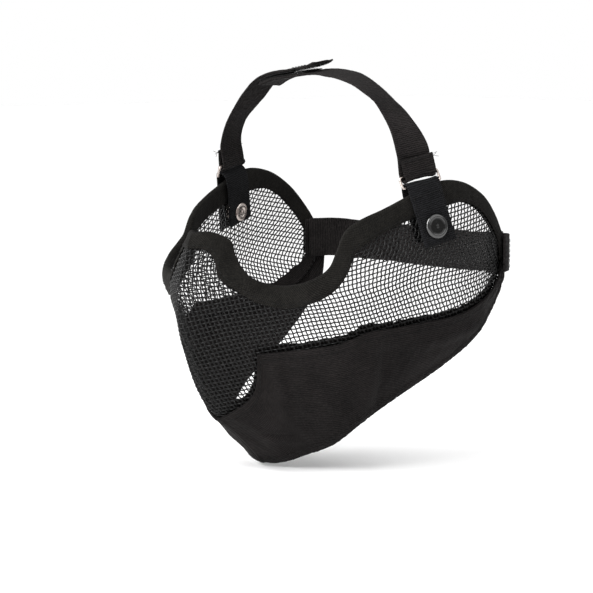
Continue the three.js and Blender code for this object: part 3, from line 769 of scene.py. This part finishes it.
COVER_MIDDLE = 1.75              # of the cloth, off the mesh's middle
COVER_THICK = 0.95
# Offset of the painted shade strip: a dark sheet behind the net that stands in for the shadow over the
# cover's edge
SHADE_STRIP_MIDDLE = -1.35
HEM = 6.0                        # width of the folded hems
HEM_STITCHES = HEM - 1.2         # from a hem's outer fold to its stitches


def cover_relief(a, h):
    """Soft folds of the cloth, in millimetres: a is the angle on the left side, or minus it on the right."""
    side = np.abs(a)
    x = a * FOLD_SCALE
    turn = np.where(a < 0, 1.8, 0.0)                 # the right side's folds fall a little elsewhere
    cheek = ramp(h, -96, -78) * (1 - 0.55 * ramp(h, -50, -40))
    front = ramp(h, -100, -84) * (1 - ramp(h, -58, -46))
    chin = ramp(side, 8, 14) * (1 - ramp(side, 22, 29))
    rear = ramp(side, 74, 84) * (1 - ramp(side, 108, 118))
    low = ramp(side, 28, 40) * (1 - ramp(side, 70, 90))
    folds = (                                        # height, place across it, middle, width, extent
        (1.7, side, 56.2 + turn + 0.035 * (h + 60), 3.4, cheek),
        (-1.15, side, 61.2 + turn + 0.03 * (h + 60), 2.0, cheek),
        (0.75, side, 22.5 + turn, 2.2, front),
        (-0.6, side, 26.3 + turn, 1.9, front),
        (0.40, side, 32.0, 2.8, front),
        (-0.85, h, -104.6 + 0.006 * (side - 17) ** 2, 1.3, chin),
        (0.60, h, -107.8, 2.2, chin),
        (0.55, h, -46.0 + 0.22 * (side - 90), 3.4, rear),
        (-0.45, h, -53.0 + 0.25 * (side - 90), 2.6, rear),
        (0.5, h + 0.9 * (side - 50), -93.0, 3.0, low),
    )
    loose = 0.55 * Waves(11, 34)(x, h) + 0.16 * Waves(12, 11)(x, h)
    return loose + sum(high * hump(line, middle, width) * part for high, line, middle, width, part in folds)


def cover_pairs(sign):
    """Matching places on the cover's edge and hem, from the chin seam to the rear."""
    front = np.linspace(0.02, len(NOTCH_EDGE) - 1, 56)
    side = np.linspace(0, len(CHEEK_EDGE) - 1, 181)[1:]
    edge = np.vstack([edge_places(NOTCH_EDGE, front, sign), edge_places(CHEEK_EDGE, side, sign)])
    hem = np.vstack([edge_places(NOTCH_HEM, front, sign), edge_places(CHEEK_HEM, side, sign)])
    return edge, hem


def cover_offsets(a, h, from_edge, from_hem, to_rear):
    """Outer and inner offset of the cloth, which is thicker and tighter at its hems and ends."""
    from_seam = np.minimum(np.abs(a) * SEAM_SCALE, to_rear)
    rim = np.minimum(np.minimum(from_edge, from_hem), from_seam)
    round_off = quarter_round(rim, 0.55)
    hem = sum(0.42 * (1 - ramp(d, HEM - 0.5, HEM + 0.5)) for d in (from_edge, from_hem))
    groove = sum(0.30 * hump(d, HEM_STITCHES, 0.45) for d in (from_edge, from_hem))
    seam = 0.22 * (1 - ramp(from_seam, 2.4, 3.2)) - 0.25 * hump(from_seam, 3.4, 0.5)
    calm = ramp(rim, 0.0, 5.0)
    relief = cover_relief(a, h) * (0.25 + 0.75 * calm)
    pucker = 0.13 * Waves(21, 5.5)(a * FOLD_SCALE, h) * (1 - ramp(np.minimum(from_edge, from_hem), 4, 9))
    middle = COVER_MIDDLE + relief + pucker + 0.5 * (hem + seam)
    middle = np.maximum(middle, COVER_MIDDLE - 0.15 - 0.9 * ramp(from_edge, 9, 16))
    half = 0.5 * (COVER_THICK + hem + seam)
    return middle + half * round_off - groove, middle - half * round_off


def jaw_cover(side, sign):
    edge, hem = cover_pairs(sign)
    depth, along = strip_sizes(edge, hem)
    to_rear = along[-1] - along
    near = np.array([0, 0.1, 0.3, 0.6, 1.2, 2.2, 3.3, 4.2, 4.8, 5.4, 6.2, 7.2])
    tight = np.minimum(1, depth / 26)[:, None]       # where the cover is narrow, its hems are too
    top = near[None, :] * tight
    bottom = depth[:, None] - near[::-1][None, :] * tight
    middle = top[:, -1:] + (bottom[:, :1] - top[:, -1:]) * np.linspace(0, 1, 34)[None, 1:-1]
    down = np.concatenate([top, middle, bottom], axis=1)
    a, h = between(edge, hem, down / depth[:, None])
    outer, inner = cover_offsets(a, h, down, depth[:, None] - down, to_rear[:, None])
    parts = slab(a, h, outer, inner, cloth_places(along, down))
    for below in (HEM_STITCHES * tight[:, 0], depth - HEM_STITCHES * tight[:, 0]):
        row = between(edge, hem, below / depth)
        face, _ = cover_offsets(*row, below, depth - below, to_rear)
        sew("mask", lift(*row, face), shell_normal(*row), 0.16)
    return parts.piece(f"jaw_cloth_{side}", "mask", NYLON, "nylon", [f"jaw_cover_{side}"])


def painted_shade_strip(side, sign):
    """Dark strip of nylon behind the wire that shows as a dark line just over the cover's edge: painted
    shade, standing in for the shadow on the net there.
    """
    edge, hem = (places[3:-6] for places in cover_pairs(sign))
    depth, along = strip_sizes(edge, hem)
    rise = 3.3 + 0.55 * Waves(91 + (sign < 0), 9)(along, 0 * along)
    rise = rise * ramp(along, 0, 9) * (1 - ramp(along, along[-1] - 12, along[-1]))
    drop = np.minimum(7.0, 0.3 * depth)
    t = np.linspace(0, 1, 14)
    down = -rise[:, None] + (rise + drop)[:, None] * t[None, :]
    a, h = between(edge, hem, down / depth[:, None])
    middle = SHADE_STRIP_MIDDLE + 0.15 * Waves(93, 8)(a * FOLD_SCALE, h)
    half = 0.3 * np.sqrt(np.clip(1 - (2 * t - 1) ** 8, 0, 1))[None, :]
    parts = slab(a, h, middle + half, middle - half, cloth_places(along, down))
    parts.piece(f"painted_shade_strip_{side}", "mask", NYLON, "nylon")


def chin_tape():
    """Tape inside the chin, over the seam between the two covers."""
    half_width, top, foot = 4, -103.5, -123
    a, h = np.meshgrid(np.linspace(-half_width, half_width, 25), np.linspace(top, foot, 31), indexing="ij")
    rim = np.minimum(1.4 * (half_width - np.abs(a)), np.minimum(top - h, h - foot))
    half = 0.5 * quarter_round(rim, 0.5)
    middle = -0.15 + 0.1 * Waves(8, 7)(a * 1.3, h)
    parts = slab(a, h, middle + half, middle - half, np.stack([h, a * 1.2], -1))
    parts.piece("chin_seam_binding", "mask", TAPE_CLOTH, "binding", ["chin_seam_tape"])


# -------------------- side hardware, left side lies on +X

RING_FOOT = np.array([87.6, -22, 45.9])
RING_HEAD = np.array([84.9, -22.6, 52.2])
STRAP_RISE = np.array([83.5, -25, 65])
RISE = unit(STRAP_RISE - RING_HEAD)
RISE_OUT = unit(np.array([RISE[2], 0, -RISE[0]]))
TAB_DOWN = unit(np.array([0.175, 0.223, -0.959]))
TAB_ACROSS = np.array([0.200955, 0.945420, 0.256513])
TAB_OUT = np.array([0.963843, -0.237602, 0.120633])
RING_UP = np.array([-0.392419, -0.087204, 0.915644])
RING_ALONG = np.array([0.230450, 0.954422, 0.189662])
SNAP_DROP = 26.1                 # from the ring down to the snap's middle
RIM_START = 5.0                  # radius at which the cap's polished rim begins
TAB_LENGTH = 36.7
TAB_WIDTH = 22.6
TAB_THICK = 1.15
TAB_STITCHES = 9.6               # from the tab's middle to its rows of stitches
RING_HALF = 13.1                 # half the length of the ring's long sides, at the wire's middle
RING_HEIGHT = 6.9
RING_WIRE = 0.78                 # its radius


def flip(points, sign):
    """Mirrors places or directions for the right side."""
    return np.asarray(points, float) * [sign, 1, 1]


def tab_point(down, out):
    """A place on the tab, so far down from the ring's foot and out from it."""
    return RING_FOOT + TAB_DOWN * down + TAB_OUT * out


def tab(side, sign):
    """The webbing tab: inner leaf, fold through the ring, and the flap outside that carries the snap."""
    root = [
        (33, -6.4), (20, -6.4), (10, -6.3), (4.5, -5.8), (0.8, -4.9), (-1.4, -3.2), (-2.1, -1.5), (-2.1, 0),
        (-1.6, 1.3), (-0.4, 1.85), (1.2, 1.98), (4, 1.98), (12, 1.95), (25, 1.95), (TAB_LENGTH, 1.95),
    ]
    path = flip([tab_point(down, out) for down, out in root], sign)
    front = flip(TAB_OUT, sign)
    wave = Waves(31 + (sign < 0), 13)
    total = Curve(path).even(0.5)[1][-1]

    def across(p):
        place = flip(p, sign) - RING_FOOT
        share = ramp(place @ TAB_DOWN, 3.5, 14) if place @ TAB_OUT > 0 else 0
        return flip(RING_ALONG + share * (TAB_ACROSS - RING_ALONG), sign)

    def relief(along, sideways, face):
        hem = 0.5 * ramp(along, total - 7.2, total - 6.6)
        edge = 0.18 * ramp(np.abs(sideways), 8.9, 10.2)
        return (hem + edge) * (face > 0) + 0.12 * wave(along, sideways)

    parts = Parts()
    line = ribbon(parts, path, across, TAB_WIDTH, TAB_THICK, 0.6, 20, relief)
    obj = parts.piece(f"tab_webbing_{side}", None, TAB_WEBBING, "nylon", [f"tab_{side}", f"tab_flap_{side}"])
    start, end = (tuple(flip(RING_FOOT + TAB_OUT * out, sign) * MM) for out in (-3.0, 1.3))
    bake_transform(obj)
    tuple(start)
    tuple(end)
    # Stitches down both long edges of the flap, twice across its foot and once across it under the ring
    middle, (_, way, normal), along = line
    flap = along > total - TAB_LENGTH + 5
    face = np.sign(normal @ front)[:, None] * normal
    top = TAB_THICK / 2 + 0.12
    for shift in (-TAB_STITCHES, TAB_STITCHES):
        sew(f"flap_{side}", (middle + way * shift + face * (top + 0.15))[flap], face[flap])
    for back, extra in ((5.4, 0.5), (1.3, 0.5), (TAB_LENGTH - 6.0, 0.0)):
        sew_across(f"flap_{side}", line, total - back, TAB_STITCHES, front, top + extra)


def rounded(profile, radius, steps):
    """A line of points with its corners eased; a point near another is eased less."""
    points = [np.array(p, float) for p in profile]
    made = [points[0]]
    for before, corner, after in zip(points, points[1:], points[2:]):
        reach = min(radius, 0.45 * np.linalg.norm(before - corner), 0.45 * np.linalg.norm(after - corner))
        start = corner + unit(before - corner) * reach
        end = corner + unit(after - corner) * reach
        for t in np.linspace(0, 1, steps + 1):
            made.append((1 - t) ** 2 * start + 2 * t * (1 - t) * corner + t * t * end)
    return [tuple(p) for p in made + [points[-1]]]


def snap(side, sign):
    """The four stampings of a snap, from the cap on the flap to the washer inside the net."""
    centre = flip(tab_point(SNAP_DROP, 0), sign)
    axis = flip(TAB_OUT, sign)

    def stamping(kind, finish, body, material, slot, profile, steps=64):
        parts = Parts()
        parts.lathe(profile, centre, axis, steps)
        return parts.piece(f"snap_{kind}_{side}_{finish}", body, material, slot, [f"snap_{kind}_{side}"])

    dome = [(0.02, 4.42), (1.5, 4.40), (3.0, 4.34), (4.1, 4.26), (4.5, 4.27)]
    rim = [(5.75 + 1.75 * math.sin(t), 3.1 + 1.62 * math.cos(t)) for t in np.radians(np.arange(-36, 92, 6))]
    cap = dome + rim + [(7.5, 3.0), (7.35, 2.75), (6.9, 2.7), (0.02, 2.7)]
    obj = stamping("cap", "domed", f"flap_{side}", ENAMEL, "snap_black", cap, 96)
    obj.data.materials.append(ENAMEL_RIM)
    for face in obj.data.polygons:
        way = np.array(face.center) / MM - centre
        if np.linalg.norm(way - axis * (way @ axis)) > RIM_START:
            face.material_index = 1
    socket = [(2.4, 1.02), (5.6, 1.02), (5.6, 0.30), (5.1, 0.02), (4.6, -0.05), (3.2, -0.02), (2.6, 0.12),
              (2.4, 0.3)]
    stud = [(0.02, -0.9), (5.2, -0.9), (5.2, -0.5), (4.6, -0.42), (2.3, -0.42), (1.75, -0.2), (1.7, 0.15),
            (1.95, 0.4), (1.8, 0.64), (1.3, 0.7), (0.02, 0.7)]
    washer = [(0.02, -7.25), (6, -7.25), (6, -7.75), (5.4, -8.2), (3.2, -8.3), (2.9, -7.95), (1.6, -7.85),
              (0.02, -7.85)]
    stamping("socket", "pressed", f"flap_{side}", NICKEL, "nickel", rounded(socket, 0.12, 2))
    stamping("stud", "pressed", "mask", NICKEL, "nickel", rounded(stud, 0.15, 2))
    stamping("washer", "pressed", "mask", NICKEL, "nickel", rounded(washer, 0.2, 3))


def ring(side, sign):
    """Bent wire loop with its butt joint inside the tab's fold."""
    corners = [(-RING_HALF, 0), (-RING_HALF, RING_HEIGHT), (RING_HALF, RING_HEIGHT), (RING_HALF, 0)]
    bent = [np.array(p) for p in rounded([(-0.05, 0), *corners, (0.05, 0)], 1.5, 8)]
    wire = []
    for p, q in zip(bent, bent[1:]):
        n = max(int(np.linalg.norm(q - p) / 1.2), 1)
        wire += [p + (q - p) * t for t in np.linspace(0, 1, n, endpoint=False)]
    wire = np.array(wire + [bent[-1]])
    parts = Parts()
    tube(parts, flip(RING_FOOT + wire[:, :1] * RING_ALONG + wire[:, 1:] * RING_UP, sign), RING_WIRE, 16,
         flip(TAB_OUT, sign))
    parts.piece(f"ring_wire_{side}", f"ring_{side}", NICKEL, "nickel", [f"strap_ring_{side}"])


# -------------------- the straps

# The head's line under each strap, from the middle to the left: x, y, z
CROWN = np.array([
    [0, -18.5, 110.5], [19, -21, 109], [40, -25, 104], [62, -26, 92], [76, -26, 78], [83.5, -25, 65],
])
NAPE = np.array([[0, 93, -5], [21, 90.5, -4.5], [42, 83, -3], [62, 70.5, -1], [76, 59, 1]])
CROWN_WIDTHS = (22.4, 19)        # by the rings, and where the elastic is stretched
NAPE_WIDTH = 25
STRAP_THICK = 1.5
STRAP_FACE = STRAP_THICK / 2 + 0.05      # where stitches lie, off the strap's middle
# Offsets from the head of what lies in a strap's overlap: the strap's two layers and the tapes between
MID = STRAP_THICK / 2
LOOPS = 2.02
HOOKS = 3.5
UPPER = 4.0 + MID
TAIL_RISE = 2.6                  # how far a strap's loose tail curls up


def crown_across(p):
    """Which way the crown strap's width lies: along the ring at its ends, and flat on the head above."""
    side = abs(p[0])
    share = np.clip((side - 60) / 22, 0, 1)
    turn = flip(RING_ALONG, 1 if p[0] > 0 else -1)
    over = np.array([0, 0.99, 0.14 - 0.24 * np.clip((side - 25) / 37, 0, 1)])
    return over * (1 - share) + turn * share


def crown_width(p):
    end, middle = CROWN_WIDTHS
    return end + (middle - end) * ramp(p[2], 64, 84)


def nape_across(p):
    return np.array([0.0, 0.0, 1.0])


def strap_point(line, across, x, offset):
    """A point of a strap's middle, standing off the line that the head gives it."""
    def at(v):
        y, z = (smooth(line[:, 0], line[:, k], [abs(v)])[0] for k in (1, 2))
        return np.array([v, y, z])

    here = at(x)
    normal = unit(np.cross(at(x + 0.5) - at(x - 0.5), across(here)))
    outward = normal[2] if line is CROWN else normal[1]
    return here + normal * (offset if outward > 0 else -offset)


OVERLAP_STITCHES = (3.0, 27.0)    # from the end of a strap's upper layer


def strap_loop(sign):
    """The doubled end of a crown strap, outside, down round the ring and back up inside."""
    leg = [(10.5, 1.8), (5.5, 1.9), (1.6, 2.0), (-1.4, 1.6), (-2.2, 0), (-1.4, -1.6), (1.6, -2.0),
           (5.5, -1.5)]
    return [flip(RING_HEAD + RISE * along + RISE_OUT * off, sign) for along, off in leg]


def webbing_ribs(sideways):
    return 0.04 * np.cos(2 * math.pi * sideways / 2.35)


def strap(name, path, across, width, body, node, seed, blend=None):
    """Elastic webbing along a path. Returns its line for sewing on."""
    path = np.array(path)
    total = Curve(path).even(0.5)[1][-1]
    half = (width(path[-1]) if callable(width) else width) / 2
    waves, small = Waves(seed, 16), Waves(seed + 1, 4.5)

    def relief(along, sideways, face):
        selvage = 0.16 * ramp(np.abs(sideways), half - 1.9, half - 0.9)
        ends = -0.35 * (1 - ramp(along, 0, 1.2)) - 0.35 * ramp(along, total - 1.2, total)
        rough = 0.10 * waves(along, sideways) + 0.05 * small(along, sideways)
        return webbing_ribs(sideways) + selvage + rough + ends

    parts = Parts()
    line = ribbon(parts, path, across, width, STRAP_THICK - 0.2, 0.8, 40, relief)
    obj = parts.piece(name, None if blend else body, ELASTIC, "elastic", [node])
    if blend:
        [tuple(np.asarray(p) * MM) for p in blend]
        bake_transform(obj)
    return line


def on_line(line, across, *runs):
    """Points of a strap: each run is an offset and the x of the points that have it."""
    return [strap_point(line, across, x, offset) for offset, *xs in runs for x in xs]


def strap_tail(name, line, across, start, length, width, body, seed):
    """The loose end past a strap's last stitches, curling up a little."""
    shares = np.linspace(0, 1, 5)
    path = [strap_point(line, across, start + length * t, UPPER + TAIL_RISE * t * t) for t in shares]
    strap(name, path, across, width, body, body, seed)


def crown_strap():
    for side, sign, seed, runs in (
        ("left", 1, 41, ((MID, 76, 62, 50, 38, 25, 12, 0, -12, -25, -36, -45),)),
        ("right", -1, 43, ((MID, -76, -66), (MID + 1.4, -57), (UPPER - 0.9, -50),
                           (UPPER, -44, -36, -28, -17))),
    ):
        path = strap_loop(sign) + [flip(STRAP_RISE + (-0.7, 0, 0.4), sign)]
        path += on_line(CROWN, crown_across, *runs)
        body = f"crown_{side}"
        line = strap(f"crown_webbing_{side}", path, crown_across, crown_width, body,
                     f"crown_strap_{side}", seed)
        sew_across(body, line, 1.3, 10.2, flip(TAB_OUT, sign), STRAP_FACE)
    for back in OVERLAP_STITCHES:
        sew_across("crown_right", line, line[2][-1] - back, 8.2, np.array([0, 0, 1]), STRAP_FACE)
    strap_tail("crown_tail_end", CROWN, crown_across, -16, 15, CROWN_WIDTHS[1], "crown_tail", 45)


def nape_strap():
    sewn = np.array([[80.6, 41.2, 1], [77.4, 48.9, 1], [75.4, 54.6, 1]])      # inside the anchor
    free = np.array([69.5, 63.5, 0.3])
    for side, sign, seed, runs in (
        ("left", 1, 51, ((MID, 71.5, 62, 52, 42, 32, 22, 12, 2, -8, -18, -28, -40),)),
        ("right", -1, 53, ((MID, -71.5, -66), (MID + 0.3, -62), (MID + 1.6, -54), (UPPER - 0.4, -46),
                           (UPPER, -40, -34, -28, -20, -12))),
    ):
        path = list(flip(sewn, sign)) + on_line(NAPE, nape_across, *runs)
        line = strap(f"nape_webbing_{side}", path, nape_across, NAPE_WIDTH, f"nape_{side}",
                     f"nape_strap_{side}", seed, (flip(sewn[-1], sign), flip(free, sign)))
    for back in OVERLAP_STITCHES:
        sew_across("nape_right", line, line[2][-1] - back, 11, np.array([0, 1, 0]), STRAP_FACE)
    strap_tail("nape_tail_end", NAPE, nape_across, -11, 19, NAPE_WIDTH, "nape_tail", 55)


BACKING_THICK = 0.42
TUFT_PITCH = 1.25
HOOK_SHAPE = ((0, 0.1), (0, 0.45), (0.12, 0.62), (0.32, 0.6), (0.4, 0.42))
LOOP_SHAPE = ((-0.3, 0.1), (-0.38, 0.4), (-0.1, 0.66), (0.25, 0.5), (0.3, 0.1))


def patch(name, line, across, places, width, body, nodes, hooks, seed):
    """Hook or loop tape: a thin backing with tiny hooks or curled loops standing on it. places holds
    (x, offset) of its middle along the strap's line."""
    path = np.array([strap_point(line, across, x, off) for x, off in places])
    parts = Parts()
    middle, (tangent, side, normal), along = ribbon(parts, path, across, width, BACKING_THICK, 1.0, 14)
    face = normal * np.sign(normal[:, [2 if line is CROWN else 1]])
    turn = -1.0 if hooks else 1.0                    # hooks hang towards the head, loops stand up
    draw = random.Random(seed)
    rows = int((width - 1) / TUFT_PITCH)
    for i in range(int(along[-1] / TUFT_PITCH) - 1):
        for j in range(rows):
            where = (i + 0.9 + draw.uniform(-0.15, 0.15)) * TUFT_PITCH
            shift = (j - (rows - 1) / 2) * TUFT_PITCH + draw.uniform(-0.15, 0.15)
            k = int(np.argmin(np.abs(along - where)))
            foot = middle[k] + side[k] * shift
            n, t = face[k] * turn, tangent[k] * draw.choice((-1, 1))
            curl = [foot + t * x + n * y for x, y in (HOOK_SHAPE if hooks else LOOP_SHAPE)]
            tube(parts, curl, 0.085, 4, side[k])
    parts.piece(name, body, HOOK if hooks else LOOP, "hook_and_loop", nodes)


def closure(strap_name, line, across, start, loop_end, hook_end, tip, width):
    """Hook and loop tape in a strap's overlap, from x = start, and under its tail as far as the tip."""
    steps = np.linspace(0, 1, 6)
    loops = [(start + (loop_end - start) * t, LOOPS) for t in steps]
    hooks = [(start + (hook_end - start) * t, HOOKS) for t in steps]
    tail = [(hook_end + 1.9 + (tip - hook_end - 2.9) * t, UPPER - 1.05 + TAIL_RISE * t * t) for t in steps]
    for kind, places, half, seed in (("loop", loops, "left", 81), ("hook", hooks, "right", 82),
                                     ("tail_hook", tail, "tail", 83)):
        nodes = [] if half == "tail" else [f"{strap_name}_{kind}_patch"]
        patch(f"{strap_name}_{kind}s", line, across, places, width, f"{strap_name}_{half}", nodes,
              kind != "loop", seed)


# -------------------- the rear anchors

ANCHOR_EDGE = np.array([82.018, 52.453, 1.0])
ANCHOR_FORWARD = np.array([0.53877, -0.84245, 0.0])
ANCHOR_OUT = np.array([0.84245, 0.53877, 0.0])
ANCHOR_WIDTH = 23
ANCHOR_THICK = 1.3


def anchor(side, sign):
    """Webbing folded over the rear edge, stitched through; the nape strap is sewn inside it."""
    leaf = [(11, 4.0), (5.5, 4.1), (-1.9, 4.1), (-3.1, 3.4), (-4.0, 2.1), (-4.2, 0)]
    path = leaf + [(f, -n) for f, n in leaf[-2::-1]]
    points = flip([ANCHOR_EDGE + ANCHOR_FORWARD * f + ANCHOR_OUT * n for f, n in path], sign)
    wave = Waves(61 + (sign < 0), 9)

    def relief(along, sideways, face):
        selvage = 0.14 * ramp(np.abs(sideways), 9.8, 10.8)
        return webbing_ribs(sideways) + 0.10 * wave(along, sideways) + selvage

    parts = Parts()
    line = ribbon(parts, points, nape_across, ANCHOR_WIDTH, ANCHOR_THICK, 0.6, 36, relief)
    parts.piece(f"anchor_webbing_{side}", "mask", ELASTIC, "elastic", [f"rear_anchor_{side}"])
    for place in (1.6, 12.5):
        sew_across("mask", line, place, 10, flip(ANCHOR_OUT, sign), 0.75)


def loose_threads():
    """Cut thread ends that stand out beside the sewn ends of the crown straps."""
    draw = random.Random(77)
    rise, out = RISE, RISE_OUT
    for side, sign in SIDES:
        parts = Parts()
        for end in (-1, 1):
            for _ in range(3):
                start = RING_HEAD + rise * draw.uniform(8.6, 10.2) + out * 2.0 + RING_ALONG * end * 10.9
                way = unit(RING_ALONG * end + rise * draw.uniform(-0.7, 0.4) + out * draw.uniform(0.0, 0.5))
                curl = unit(np.cross(way, out)) * draw.uniform(-1.0, 1.0)
                length = draw.uniform(2.0, 4.5)
                share = np.linspace(0, 1, 8)[:, None]
                points = start + way * share * length + curl * share ** 2 * length * 0.5
                tube(parts, flip(points, sign), 0.13, 5, flip(out, sign))
        parts.piece(f"thread_ends_{side}", f"crown_{side}", THREAD, "elastic")


# -------------------- build the mask

weave()
rim_tape("brow_binding", np.linspace(-TAPE_SEAM, TAPE_SEAM, 561), ["brow_tape"], 71)
for side, sign in SIDES:
    stations = np.linspace(TAPE_SEAM + 0.03, LAST - 0.05, 171)
    rim_tape(f"ear_binding_{side}", stations * sign, [f"ear_rim_tape_{side}"], 73 if sign > 0 else 75)
covers = {side: jaw_cover(side, sign) for side, sign in SIDES}
chin_tape()
for side, sign in SIDES:
    # painted shade: dark strip behind the net over each cover's edge
    painted_shade_strip(side, sign)
    tab(side, sign)
    snap(side, sign)
    ring(side, sign)
    anchor(side, sign)
crown_strap()
nape_strap()
closure("crown", CROWN, crown_across, -44, -10, -18, -1, 18.2)
closure("nape", NAPE, nape_across, -39, -4, -14, 8, 20)
loose_threads()
for body in ("mask", "crown_left", "crown_right", "nape_right", "flap_left", "flap_right"):
    parts = Parts()
    for row in STITCHES[body]:
        stitch_row(parts, *row)
    parts.piece(f"stitching_{body}", body, THREAD, "binding" if body == "mask" else "nylon")

# -------------------- floor, light, camera

FLOOR, REACH = -0.1285, 6
floor_mesh = bpy.data.meshes.new("floor")
corners = [(-REACH, -REACH, FLOOR), (REACH, -REACH, FLOOR), (REACH, REACH, FLOOR), (-REACH, REACH, FLOOR)]
floor_mesh.from_pydata(corners, [], [(0, 1, 2, 3)])
floor = bpy.data.objects.new("floor", floor_mesh)
bpy.context.scene.collection.objects.link(floor)
paper = Nodes("paper")
tone = paper.noise(paper.place(3.0), 2.0)
paper.set(Base_Color=paper.mix(tone, grey(0.93), grey(0.96)), Roughness=0.9, Specular_IOR_Level=0.1)
floor.data.materials.append(paper.material)

world = bpy.data.worlds.new("studio")
world.use_nodes = True
sky = world.node_tree
rays = sky.nodes.new("ShaderNodeLightPath")
level = sky.nodes.new("ShaderNodeMapRange")
level.inputs["To Min"].default_value = 0.38      # what lights the mask
level.inputs["To Max"].default_value = 1.0       # what shows behind it
sky.links.new(rays.outputs["Is Camera Ray"], level.inputs["Value"])
sky.links.new(level.outputs["Result"], sky.nodes["Background"].inputs["Strength"])
sky.nodes["Background"].inputs["Color"].default_value = (1, 1, 1, 1)
bpy.context.scene.world = world


def stand(name, data, azimuth, elevation, distance, target=(0, 0, 0)):
    """A light or camera at a distance from its target. azimuth is as a viewer's: 0 stands before the
    nose, 90 at the left ear."""
    obj = bpy.data.objects.new(name, data)
    bpy.context.scene.collection.objects.link(obj)
    a, e = math.radians(azimuth), math.radians(elevation)
    way = np.array([math.sin(a) * math.cos(e), -math.cos(a) * math.cos(e), math.sin(e)])
    obj.location = np.array(target) + distance * way
    obj.rotation_euler = (math.pi / 2 - e, 0, a)
    return obj


def lamp(name, kind, azimuth, elevation, distance, power, **shape):
    light = bpy.data.lights.new(name, kind)
    light.energy = power
    for key, value in shape.items():
        setattr(light, key, value)
    stand(name, light, azimuth, elevation, distance)


# Two wide suns give even light; the panels are for the glints on wire, rings and snaps
lamp("key", "SUN", -5, 42, 2, 2.2, angle=math.radians(42))
lamp("fill", "SUN", 100, 48, 2, 1.1, angle=math.radians(70))
lamp("front_glint", "AREA", 8, 24, 1.2, 12, shape="ELLIPSE", size=0.42, size_y=2.0)
lamp("side_glint", "AREA", -62, 28, 1.1, 6, shape="ELLIPSE", size=0.34, size_y=0.34)

lens = bpy.data.cameras.new("camera")
lens.lens = 155.4
lens.sensor_width = 36
bpy.context.scene.camera = stand("camera", lens, 48, 6, 1.6, (-0.0191, -0.0258, -0.0289))
bpy.context.scene.view_settings.view_transform = "Standard"
